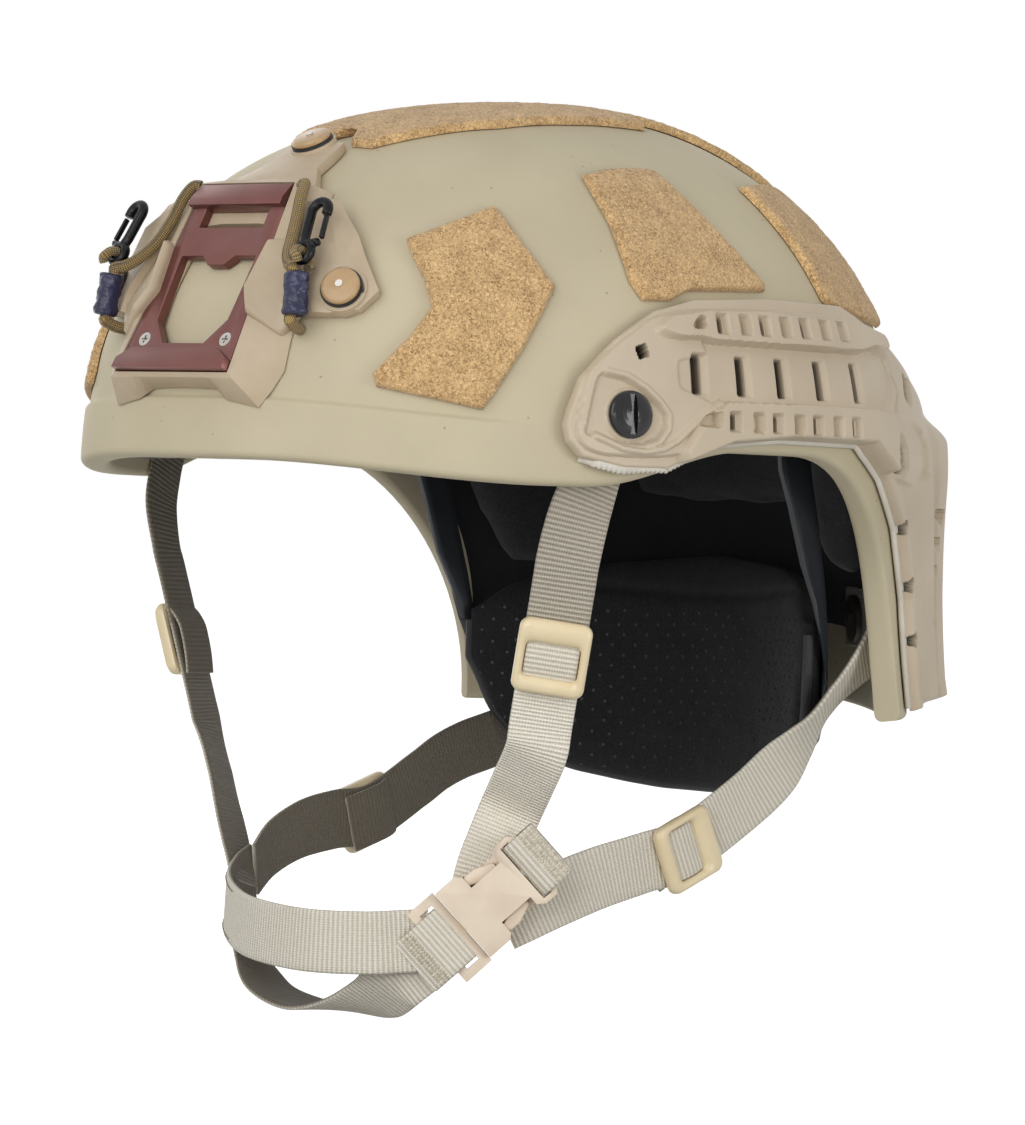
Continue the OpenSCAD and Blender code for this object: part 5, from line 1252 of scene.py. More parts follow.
# --- webbing


@dataclass
class Ribbon:
    """Flat webbing along a run of stations, each a point and the way its face looks."""

    wide: float = 19.0
    thick: float = 1.6
    step: float = 0.9
    finish: Finish = WEBBING

    def frames(self, stations: Sequence) -> tuple[Grid, Grid, Grid, Grid]:
        """Points, across and outward directions, and run lengths along the webbing.

        Args:
            stations: pairs of a point and a face direction.

        Returns:
            Four arrays.
        """
        centre = np.array([s[0] for s in stations], float)
        facing = unit([s[1] for s in stations])
        even = np.linspace(0, 1, 400)
        run = run_lengths(curve(centre, even))
        share = np.interp(np.linspace(0, run[-1], int(run[-1] / self.step) + 2), run, even)
        c = curve(centre, share)
        t = unit(np.gradient(c, axis=0))
        w = unit(np.cross(curve(facing, share), t))
        return c, w, unit(np.cross(t, w)), np.interp(share, even, run)

    def build(self, name: str, stations: Sequence, mirror: bool = False) -> Piece:
        """Makes the webbing with its UV map in metres and its side attribute.

        Args:
            name: the piece's name.
            stations: pairs of a point and a face direction.
            mirror: whether it is on the wearer's right.

        Returns:
            The object.
        """
        c, w, h, run = self.frames(stations)
        half, t = self.wide / 2, self.thick / 2
        cross = [(x, t) for x in np.linspace(half - 0.7, -half + 0.7, 12)]
        cross += [(-half + 0.2, t * 0.62), (-half, 0), (-half + 0.2, -t * 0.62)]
        cross += [(-x, -y) for x, y in cross]
        rings = np.stack([c + w * x + h * y for x, y in cross], 1)
        made = make_piece(name, rings, capped(*rings.shape[:2]), self.finish, 50, mirror)
        faces = [1.0 if y > 0.3 else (0.0 if y < -0.3 else 0.5) for _, y in cross]
        give_value(made, "side", np.tile(faces, len(c)))
        give_uv(made, np.stack([np.tile([x for x, _ in cross], len(c)), np.repeat(run, len(cross))], -1) * MM)
        return made


def wall(angle: float, level: float, off: float = 9.4) -> tuple[Grid, Grid]:
    """A station on the shell's inside."""
    p = FORM.at(angle, level, -off)
    return p, FORM.normal(FORM.turned(angle, level), np.asarray(float(level)))


# Ways that the straps' faces look, and the buckle's middle and axis.
FACING = (0.70, -0.71, 0.0)
RIGHT_FACING = (0.93, -0.37, 0.0)
REAR_FACING = (0.995, -0.08, 0.0)
BUCKLE_AT = (59.4, -56.3, -127.6)
BUCKLE_AXIS = (0.514, 0.511, 0.689)


def local_run(at: Grid, along: Grid, facing: Grid, rows: Sequence) -> list:
    """Stations given in a frame: places along and out of it, and the way the face looks at each."""
    return [(placed(at, along, facing, (0, y, z)), placed((0, 0, 0), along, facing, out)) for y, z, out in rows]


def bare(stations: Sequence, facing: Sequence[float]) -> list:
    """Stations with a face direction where they give none."""
    return [s if len(s) == 2 else (s, facing) for s in stations]


@dataclass
class Harness:
    """The chin harness: four straps from the shell to the buckle, and two bands under the chin."""

    ribbon: Ribbon = field(default_factory=Ribbon)
    thread: float = 0.26
    slider_span: Rows = ((86, -61, -36), (75, -57, -75))
    blend_start: tuple[float, float, float] = (-0.030, -0.082, -0.141)
    blend_end: tuple[float, float, float] = (0.038, -0.079, -0.144)

    def front_run(self, side: Side) -> list:
        """Stations of a front strap."""
        run = [wall(60.9, 26), wall(60.9, 16), wall(60.2, 6), wall(59, -3),
               ((92, -61.6, -14), (.95, -.3, 0) if side.right else (.84, -.54, 0)), (88.8, -62, -26.2),
               *self.slider_span, (72.2, -56, -84.8)]
        if side.right:
            return bare(run + [(66.5, -56.5, -96), (61, -57.4, -108), (56, -57, -122), (52.5, -57.5, -131)],
                        RIGHT_FACING)
        return bare(run + [(62.3, -51.1, -94.5), (53.7, -47.1, -103), (52.7, -49.9, -110), (51.2, -53.4, -120),
                           (50, -54.4, -127)], FACING)

    def rear_run(self, side: Side) -> list:
        """Stations of a rear strap."""
        start = [wall(160.5, -41.6), wall(155, -42), wall(148, -43), wall(141, -46.5, 9.6)]
        if side is Side.LEFT:
            tail = [wall(135, -52.5, 10), ((77.5, 69.5, -68), (.76, .65, 0)), ((73.8, 61, -81), (.9, .4, 0)),
                    (70.8, 51.5, -91.5), (68.3, 39, -101.5), (66.2, 16, -114.8), (65, 0, -119),
                    ((63.2, -18.6, -123.6), (.84, -.54, 0)), ((60.4, -34.2, -129), FACING),
                    ((56.2, -44.6, -134), FACING), ((53, -48.8, -136.6), FACING)]
        else:
            tail = [((70, 89, -59), (.8, .6, 0)), ((72, 92, -71), (.95, .3, 0)), (72, 87, -80), (71.2, 78, -84.5),
                    (70.8, 67, -87.5), (70, 55, -90.5), (69.2, 44, -94.5), (68, 33, -100), (66.5, 11, -110.6),
                    (65, -7, -112.6), ((62.5, -24, -115.5), (.9, -.4, 0)), ((59.5, -39, -121), (.85, -.5, 0)),
                    ((55, -50, -127.5), (.8, -.6, 0))]
        return bare(start + tail, REAR_FACING)

    def loop(self) -> None:
        """Makes the sewn loop at the socket and the turn of webbing in the plug's window."""
        loop = ((20.6, -3.4, (0, 0, -1)), (17, -5.2, (0, 0, -1)), (12.4, -5.4, (0, -.3, -1)),
                (10.1, -3.3, (0, -1, -.4)), (10.1, 3.3, (0, -1, .4)), (12.4, 5.4, (0, -.3, 1)),
                (16.5, 5.4, (0, .1, 1)), (20.4, 4.1, (0, .4, 1)))
        turn = ((-34, 1.2, (0, 0, 1)), (-30, 2.6, (0, -.3, 1)), (-26.5, 3.5, (0, -.1, 1)), (-22.5, 3.2, (0, .1, 1)),
                (-18.6, 2.4, (0, .4, 1)), (-16.9, .6, (0, 1, .5)), (-17, -1.4, (0, 1, -.3)), (-20, -3.4, (0, .3, -1)),
                (-29, -3.6, (0, 0, -1)))
        for word, body, node, rows, length in (("socket_loop", "helmet", "buckle_loop", loop, 1.9),
                                               ("plug_turn", "plug", "", turn, 2.1)):
            run = local_run(BUCKLE_AT, BUCKLE_AXIS, FACING, rows)
            mount(self.ribbon.build(f"webbing_{word}", run), body, node)
            far = self.ribbon.frames(run)[3][-1]
            seams = (far - 1.2, far - 3.0, far - 4.8) if node else (3.4, 5.6)
            tacks = [(along, x) for along in seams for x in np.arange(-8.4, 8.5, 1.05)]
            self.stitches(f"stitches_{word}", run, tacks, length, body)

    def stitches(self, name: str, run: Sequence, spots: Sequence, length: float, body: str,
                 finish: Finish = THREAD) -> None:
        """Sews a row of stitches on webbing.

        Args:
            name: the piece's name.
            run: the webbing's stations.
            spots: places along and across it in millimetres.
            length: a stitch's length in millimetres.
            body: the body it rides on.
            finish: the thread's finish.
        """
        c, w, h, far = self.ribbon.frames(run)
        along, across = np.array(spots, float).T
        c, w, h, t = (np.stack([np.interp(along, far, v[:, k]) for k in range(3)], -1)
                      for v in (c, w, h, unit(np.gradient(c, axis=0))))
        points = c + w * across[:, None] + h * (self.ribbon.thick / 2 + 0.12)
        mount(repeated(name, points, t, finish, self.thread, length, 6), body)

    def upper_run(self) -> list:
        """Stations of the upper chin band, cut at the plug."""
        return [((-56.5, -50, -128.5), (-.9, -.4, 0)), ((-53.5, -59, -131.5), (-.8, -.6, 0)),
                ((-46, -70, -136), (-.6, -.8, 0)), ((-31, -81, -140), (-.45, -.89, 0)),
                ((-10, -91.5, -142.5), (-.2, -.98, 0)), ((16, -95.5, -144), (.25, -.97, 0)),
                ((33, -87, -144), (.5, -.86, 0)), ((39.4, -77.4, -143.3), (.68, -.73, 0)),
                ((45.2, -71.6, -142.7), FACING)]

    def lower_run(self) -> list:
        """Stations of the lower chin band."""
        ends = [placed(BUCKLE_AT, BUCKLE_AXIS, FACING, (0, y, -1.25)) for y in (-30.7, -25.7)]
        return [((-45, -68.6, -138.6), (-.62, -.78, 0)), ((-40.6, -68.8, -147.4), (-.68, -.5, -.45)),
                ((-33.6, -68.6, -155.4), (-.65, -.2, -.72)),
                ((-23, -71, -162.5), (-.35, 0, -.93)), ((-6, -72, -166), (-.15, .05, -.98)),
                ((12, -73, -165), (.02, -.22, -.95)), ((26, -74, -161.5), (.3, -.6, -.65)),
                ((35, -75.3, -156), (.6, -.78, -.1)), (ends[0], FACING), (ends[1], FACING)]

    def build(self) -> None:
        """Makes the straps and bands."""
        for side in Side:
            front = self.front_run(side)
            facing = front[6][1]
            # Above its slider the front strap is darker as painted shade, and below it paler as painted light.
            parts = (("front", "", front[:7] + [((78.4, -58.2, -63), facing)], SHADED_STRAP_WEBBING, 1.6),
                     ("front", "_end", [((81.6, -59.4, -51.5), facing), *front[7:]], LIT_FINE_WEBBING, 1.5),
                     ("rear", "", self.rear_run(side), WEBBING, 1.6))
            for word, end, run, finish, thick in parts:
                made = Ribbon(finish=finish, thick=thick).build(f"webbing_{word}_{side.word}{end}", run, side.right)
                mount(made, "helmet", f"strap_{word}_{side.word}")
        self.loop()
        upper = self.upper_run()
        for name, run, node in (("webbing_chin_upper", upper, "chin_band"),
                                ("webbing_chin_lower", self.lower_run(), "chin_band_lower")):
            made = self.ribbon.build(name, run)
            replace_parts(made, node)
            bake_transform(made)
        c, _, _, far = self.ribbon.frames(upper)
        dashes = [(along, x) for along in np.arange(6, 92, 2.7) for x in (-7.6, 7.4)]
        kept = [(along, x) for along, x in dashes if c[np.searchsorted(far, along), 0] < -31]
        self.stitches("stitches_chin", upper, kept, 1.7, "helmet", DARK_THREAD)
        self.sliders()

    def sliders(self) -> None:
        """Makes the four sliders, each at its place on its strap."""
        top, end = np.array(self.slider_span, float)
        for side in Side:
            facing = RIGHT_FACING if side.right else FACING
            Slider().build(f"slider_front_{side.word}", (top + end) / 2, end - top, facing, side.right)
            run = [np.array(s[0], float) for s in self.rear_run(side)]
            back = 11 if side.right else 16
            at = min(range(len(run)), key=lambda i: abs(run[i][1] - back))
            Slider().build(f"slider_rear_{side.word}", run[at], run[at + 1] - run[at - 1], REAR_FACING, side.right)


# --- buckle and sliders


@dataclass
class Moulding:
    """A CAD node carried over with its edges rounded and its own finish."""

    node: str
    body: str
    slot: str
    finish: Finish
    width: float = 0.4
    segments: int = 2

    def build(self) -> None:
        """Makes the rounded copy."""
        made = bevelled(cad_copy(f"{self.node}_made", self.node), self.width, self.segments)
        dress(made, self.finish)
        mount(made, self.body, self.node)


def soft_loop(half_x: float, half_y: float, corner: float) -> Grid:
    """Points of a rectangle with rounded corners, the same share of them at each corner."""
    corner = min(corner, half_x - 0.05, half_y - 0.05)
    out = []
    for k, (sx, sy) in enumerate(((1, 1), (-1, 1), (-1, -1), (1, -1))):
        t = np.radians(90 * k + np.linspace(0, 90, 16))
        out.append(np.stack([sx * (half_x - corner) + corner * np.cos(t),
                             sy * (half_y - corner) + corner * np.sin(t)], -1))
    return np.concatenate(out)


def tube(path: Grid, radius: float, sides: int) -> tuple[Grid, list, Grid]:
    """A closed tube along a path.

    Args:
        path: its centreline in millimetres.
        radius: its radius.
        sides: points round it.

    Returns:
        Points, faces, and for each point its place round and along in metres.
    """
    t = unit(np.gradient(path, axis=0))
    side = unit(np.cross(t[0], [0.31, 0.17, 0.93]))
    x = []
    for d in t:
        side = unit(side - d * (side @ d))
        x.append(side)
    y = np.cross(t, x)
    turns = np.linspace(0, 2 * np.pi, sides, endpoint=False)
    rings = np.stack([path + np.array(x) * radius * math.cos(a) + y * radius * math.sin(a) for a in turns], 1)
    place = np.stack([np.tile(turns * radius, len(path)), np.repeat(run_lengths(path), sides)], -1) * MM
    return rings.reshape(-1, 3), capped(len(path), sides), place


def give_uv(piece: Piece, place: Grid) -> None:
    """Gives a piece a UV map from a place for each point."""
    mesh = piece.data
    uv = mesh.uv_layers.new(name="UVMap")
    index = np.empty(len(mesh.loops), int)
    mesh.loops.foreach_get("vertex_index", index)
    uv.data.foreach_set("uv", place[index].ravel())


def outward(piece: Piece) -> Piece:
    """Turns a closed piece's faces outward."""
    work = bmesh.new()
    work.from_mesh(piece.data)
    bmesh.ops.recalc_face_normals(work, faces=work.faces)
    work.to_mesh(piece.data)
    work.free()
    return piece


def repeated(name: str, points: Grid, axes: Grid, finish: Finish, radius: float, length: float,
             sides: int = 8) -> Piece:
    """Repeats a small pin at points with Geometry Nodes.

    Args:
        name: the piece's name.
        points: where the pins are, in millimetres.
        axes: the way each pin points.
        finish: their finish.
        radius: a pin's radius in millimetres.
        length: its length in millimetres.
        sides: its sides.

    Returns:
        The object, as a plain mesh.
    """
    made = make_piece(name, points)
    way = made.data.attributes.new("axis", "FLOAT_VECTOR", "POINT")
    way.data.foreach_set("vector", np.asarray(axes, float).ravel())
    tree = bpy.data.node_groups.new(f"repeat {name}", "GeometryNodeTree")
    face = tree.interface
    face.new_socket("Geometry", in_out="INPUT", socket_type="NodeSocketGeometry")
    sizes = {"Radius": radius * MM, "Length": length * MM}
    sockets = {key: face.new_socket(key, in_out="INPUT", socket_type="NodeSocketFloat") for key in sizes}
    face.new_socket("Geometry", in_out="OUTPUT", socket_type="NodeSocketGeometry")
    start = add_node(tree, "NodeGroupInput")
    pin = add_node(tree, "GeometryNodeMeshCylinder",
                   {"Vertices": sides, "Radius": start.outputs["Radius"], "Depth": start.outputs["Length"]})
    axis = add_node(tree, "GeometryNodeInputNamedAttribute", {"data_type": "FLOAT_VECTOR", "Name": "axis"})
    turn = add_node(tree, "FunctionNodeAlignRotationToVector", {"axis": "Z", "Vector": axis.outputs["Attribute"]})
    many = add_node(tree, "GeometryNodeInstanceOnPoints",
                    {"Points": start.outputs["Geometry"], "Instance": pin.outputs["Mesh"],
                     "Rotation": turn.outputs["Rotation"]})
    real = add_node(tree, "GeometryNodeRealizeInstances", {"Geometry": many.outputs["Instances"]})
    coat = add_node(tree, "GeometryNodeSetMaterial",
                    {"Material": finish.material(), "Geometry": real.outputs["Geometry"]})
    add_node(tree, "NodeGroupOutput", {"Geometry": coat.outputs["Geometry"]})
    modifier = modify(made, "Repeat", "NODES", node_group=tree)
    for key, socket in sockets.items():
        modifier[socket.identifier] = sizes[key]
    evaluated(made)
    shade(made, 50)
    return made


@dataclass
class Slider:
    """A moulded ladder-lock slider: a soft-edged frame with the webbing bowed through its window."""

    wide: float = 22.0
    long: float = 23.0
    window_x: float = 8.3
    window_y: float = 5.4
    window_low: float = 1.2
    thick: float = 3.4
    seat: float = 1.2

    def body(self) -> Mesh:
        """The frame's mesh in its own coordinates: X across, Y along the webbing, Z out of its face."""
        top = self.seat + self.thick
        section = ((0.10, self.seat), (0.0, self.seat + 0.7), (0.0, top - 1.5), (0.10, top - 0.5), (0.30, top),
                   (0.62, top + 0.1), (0.82, top - 0.35), (0.96, top - 1.1), (1.0, top - 1.9), (0.94, self.seat))
        outer = soft_loop(self.wide / 2, self.long / 2, 3.2)
        inner = soft_loop(self.window_x, self.window_y, 1.8) + [0, self.window_low]
        rings = [np.column_stack([outer * (1 - t) + inner * t, np.full(len(outer), z)]) for t, z in section]
        n, m = len(rings), len(outer)
        faces = grid_faces(n, m, wrap=True)
        faces += [((n - 1) * m + j, (n - 1) * m + (j + 1) % m, (j + 1) % m, j) for j in range(m)]
        return np.concatenate(rings), faces

    def build(self, name: str, at: Grid, along: Grid, facing: Grid, mirror: bool) -> None:
        """Makes a slider and the webbing in its window.

        Args:
            name: the CAD node and body that it stands for.
            at: the slider's middle on the webbing.
            along: the way the webbing runs.
            facing: the way its face looks.
            mirror: whether it is on the wearer's right.
        """
        points, faces = self.body()
        made = make_piece(f"{name}_frame", placed(at, along, facing, points), faces, SLIDER_ACETAL, 50, mirror)
        mount(outward(made), name, name)
        bow = [(y + self.window_low, 0.7 + 2.3 * (1 - (y / 8.5) ** 2), (0, y * 0.06, 1))
               for y in (-8.5, -5.5, -2.5, 0, 2.5, 5.5, 8.5)]
        turn = [(y, z, (0, y * 0.02, 1))
                for y, z in ((-10.2, 0.9), (-8.2, -1.0), (-4, -2.5), (0, -2.7), (6, -2.4), (12, -1.5))]
        for word, wide, thick, rows in (("webbing", 16.2, 1.1, bow), ("return", 18.4, 1.3, turn)):
            run = local_run(at, along, facing, rows)
            mount(Ribbon(wide=wide, thick=thick).build(f"{name}_{word}", run, mirror), name)


@dataclass
class Lanyard:
    """An elastic lanyard: its cord, the loop in the clip's eye, the shrunk sleeve and the snap hook."""

    side: Side
    cord: float = 3.6
    loop_cord: float = 3.0
    sleeve_top: tuple = (40.6, -131.4, 55.2)
    sleeve_up: tuple = (-0.11, 0.12, 0.987)
    sleeve_out: tuple = (0.42, -0.9, 0.16)
    eye: tuple = (40.6, -129.2, 61.2)
    up: tuple = (-0.18, 0.43, 0.88)
    out: tuple = (0.1, -0.87, 0.47)
    eye_radius: float = 2.95
    fuse: float = 0.28

    def sleeve_points(self, local: Grid) -> Grid:
        """World place of points given in the sleeve's frame."""
        return placed(self.sleeve_top, self.sleeve_up, self.sleeve_out, local)

    def cord_points(self) -> Grid:
        """The main strand's control points."""
        first = [(22.4, -112.8, 82.6), (24.6, -114.2, 82.4), (26, -117, 78.4), (27.4, -119.8, 72), (29.6, -123.8, 65),
                 (32.2, -127.4, 60.6), (35.7, -130.1, 57.8)]
        inside = self.sleeve_points([(-1.5, t, 0) for t in (1.8, .2, -6.5, -13.2, -14.4)])
        return np.array([*first, *inside, (39.6, -130.4, 39.2), (38.4, -127.4, 38.6)])

    def loop_points(self) -> Grid:
        """The small loop's control points."""
        side, wire = 3.75, 2.65
        rows = [(1, -.68, -1.65), (1, -.95, -.7), (.3, -1, .4), (0, -.72, 2.2), (0, 0, 3.1), (0, .72, 2.2), (.3, 1, .4),
                (1, .95, -.7), (1, .68, -1.65)]
        return placed(self.eye, self.up, self.out, [(x, y - wire, z * side) for x, z, y in rows])

    def build(self) -> None:
        """Makes the lanyard."""
        side = self.side
        path = curve(self.cord_points(), np.linspace(0, 1, 90))
        small = curve(self.loop_points(), np.linspace(0, 1, 48))
        for word, line, thick, sides in (("cord", path, self.cord, 14), ("loop", small, self.loop_cord, 12)):
            points, faces, place = tube(line, thick / 2, sides)
            made = make_piece(f"lanyard_{word}_{side.word}", points, faces, ELASTIC, 60, side.right)
            give_uv(made, place)
            mount(made, "helmet", f"bungee_{side.word}")
        path = path * [-1 if side.right else 1, 1, 1] * MM
        self.sleeve()
        self.hook()

    def sleeve(self) -> Piece:
        """Makes the wrinkled sleeve.

        Returns:
            The object.
        """
        side = self.side
        y = np.concatenate([[0.0, -0.05, -0.35], np.linspace(-0.9, -12.1, 40), [-12.65, -12.95, -13.0]])
        r = np.concatenate([[2.4, 3.2, 3.7], 3.9 - 0.3 * np.sin(np.linspace(0, np.pi, 40)) ** 2, [3.7, 3.2, 2.4]])
        turns = np.linspace(0, 2 * np.pi, 36, endpoint=False)
        local = np.stack([np.stack([np.cos(t) * r, y, np.sin(t) * r * 0.94], -1) for t in turns], 1)
        bumps = 0.20 * ruffle(local, 3.4, 5) + 0.12 * ruffle(local * [1, 2.6, 1], 4.0, 6)
        local = local * np.stack([1 + bumps / 3.5, np.ones_like(bumps), 1 + bumps / 3.5], -1)
        made = make_piece(f"lanyard_sleeve_{side.word}", self.sleeve_points(local.reshape(-1, 3)),
                          capped(*local.shape[:2]), SHRINK_TUBE, 60, side.right)
        return mount(outward(made), "helmet", f"bungee_sleeve_{side.word}")

    def hook(self) -> None:
        """Makes the snap hook as one moulding: an eye, a stem with an open arc, and a foot."""
        side = self.side
        t = np.radians(np.linspace(0, 360, 40, endpoint=False))
        ring = np.stack([self.eye_radius * np.cos(t), self.eye_radius * np.sin(t), 0 * t], -1)
        stem = [(0.3, 2.2, 0), (-0.2, 3.6, 0), (-0.6, 5.5, 0), (-0.6, 9.5, 0), (-0.55, 12.5, 0)]
        stem += [(2.4 + 3.0 * math.cos(a), 14 + 3.1 * math.sin(a), 0) for a in np.radians(np.linspace(180, -8, 26))]
        foot = [(0.2, 2.6, 0), (2.6, 2.9, 0), (4.9, 3.1, 0)]
        parts = []
        for line, wide, deep in (([*ring, *ring[:2]], 1.2, 1.6), ([*stem, (5.2, 12.4, 0)], 1.6, 1.6),
                                 (foot, 1.2, 1.5)):
            path = np.array(line, float)
            d = unit(np.gradient(path, axis=0))
            across = np.stack([-d[:, 1], d[:, 0], 0 * d[:, 0]], -1)
            turns = np.linspace(0, 2 * np.pi, 14, endpoint=False)
            rings = np.stack([path + across * wide * math.cos(v) + [0, 0, deep * math.sin(v)] for v in turns], 1)
            parts.append((rings.reshape(-1, 3), capped(*rings.shape[:2])))
        points, faces = joined(parts)
        world = placed(self.eye, self.up, self.out, points)
        made = outward(make_piece(f"snap_hook_{side.word}", world, faces, None, 60, side.right))
        modify(made, "Fuse", "REMESH", mode="VOXEL", voxel_size=self.fuse * MM)
        modify(made, "Ease", "SMOOTH", factor=0.5, iterations=4)
        dress(evaluated(made), BLACK_ACETAL)
        shade(made, 70)
        mount(made, f"clip_{side.word}", f"clip_{side.word}")


@dataclass
class ShroudFin:
    """The raised fin that stands beside the insert on a flank of the shroud."""

    side: Side
    crest: Rows = ((23.0, 43.2, 1.3), (20.9, 27.2, 1.5), (24.9, 20.6, 1.2))
    inner: Rows = ((21.4, 43.0, -0.6), (19.6, 27.2, -0.4), (24.0, 18.9, -0.6))
    outer: Rows = ((29.0, 47.5, -6.0), (41.0, 26.5, -8.5), (34.0, 15.5, -7.0))
    foot: float = -10.0
    tilt: float = 26.7
    seat: tuple[float, float, float] = (0, -145.4, 26.5)

    def build(self) -> None:
        """Makes the fin."""
        tilt = math.radians(self.tilt)
        turn = np.array([[1, 0, 0], [0, math.sin(tilt), math.cos(tilt)], [0, -math.cos(tilt), math.sin(tilt)]])
        rows = [*self.crest, *self.inner, *self.outer]
        rows += [(x, y, self.foot) for x, y, _ in (*self.inner, *self.outer)]
        faces = [(3, 4, 1, 0), (4, 5, 2, 1), (0, 1, 7, 6), (1, 2, 8, 7), (3, 0, 6), (5, 8, 2), (9, 10, 4, 3),
                 (10, 11, 5, 4), (12, 13, 7, 6), (13, 14, 8, 7), (9, 3, 6, 12), (11, 5, 8, 14), (9, 10, 13, 12),
                 (10, 11, 14, 13)]
        made = make_piece(f"shroud_fin_{self.side.word}", self.seat + np.array(rows) @ turn, faces,
                          mirror=self.side.right)
        dress(bevelled(outward(made), 0.9, 3, 12, 50), SHROUD_NYLON)
        mount(made, "helmet")


@dataclass
class ScrewPins:
    """The bright shank ends peened in the middle of the shroud's round screws."""

    radius: float = 1.15
    length: float = 0.5
    apart: float = 15.0

    def build(self) -> None:
        """Makes the pins, each on the tip of a screw."""
        source = cad_copy("screw_pins_source", "shroud_screws", 0)
        p = read_points(source) / MM
        bpy.data.objects.remove(source)
        tips, axes = [], []
        for inside in (p[:, 0] > self.apart, p[:, 0] < -self.apart, np.abs(p[:, 0]) < self.apart):
            screw = p[inside]
            way = unit(np.linalg.svd(screw - screw.mean(0), full_matrices=False)[2][0])
            way = way * np.sign(way @ [0, -0.5, 1])
            tips.append(screw[(screw @ way).argmax()])
            axes.append(way)
        made = repeated("screw_pins", np.array(tips), np.array(axes), STEEL, self.radius, self.length, 20)
        mount(made, "helmet")


@dataclass
class Pad:
    """A foam pad under felt, swollen by cloth simulation from its CAD solid."""

    node: str
    lower: float = 0.0
    voxel: float = 4.2
    shrink: float = 1.3
    cap: float = 4.0
    pressure: float = 4.0
    frames: int = 20

    def build(self) -> None:
        """Makes the pad."""
        made = cad_copy(f"{self.node}_cover", self.node, 0)
        if self.lower:
            p = read_points(made)
            z0, z1 = p[:, 2].min(), p[:, 2].max()
            p[:, 2] -= self.lower * MM * (1 - (p[:, 2] - z0) / (z1 - z0)) ** 2
            made.data.vertices.foreach_set("co", p.ravel())
        modify(made, "Even", "REMESH", mode="VOXEL", voxel_size=self.voxel * MM)
        modify(made, "Slack", "DISPLACE", strength=-self.shrink * MM, mid_level=0.0)
        evaluated(made)
        self.swell(made)
        modify(made, "Ease", "SMOOTH", factor=0.5, iterations=2)
        modify(made, "Soft", "SUBSURF", levels=1, render_levels=1)
        dress(evaluated(made), FELT)
        shade(made, 80)
        mount(made, "helmet", self.node)

    def swell(self, piece: Piece) -> None:
        """Swells the cover by cloth simulation, and caps how far it moves."""
        scene = bpy.context.scene
        start = read_points(piece)
        cloth = piece.modifiers.new("Cover", "CLOTH")
        cloth.settings.use_pressure = True
        cloth.settings.uniform_pressure_force = self.pressure
        cloth.settings.effector_weights.gravity = 0.0
        cloth.settings.quality = 4
        cloth.collision_settings.use_collision = False
        cloth.point_cache.frame_start, cloth.point_cache.frame_end = 1, self.frames
        for number in range(1, self.frames + 1):
            scene.frame_set(number)
        evaluated(piece)
        scene.frame_set(1)
        move = read_points(piece) - start
        far = np.linalg.norm(move, axis=1, keepdims=True)
        cap = self.cap * MM
        move *= np.where(far > 0, cap * np.tanh(far / cap) / np.maximum(far, 1e-9), 1.0)
        piece.data.vertices.foreach_set("co", (start + move).ravel())
        piece.data.update()


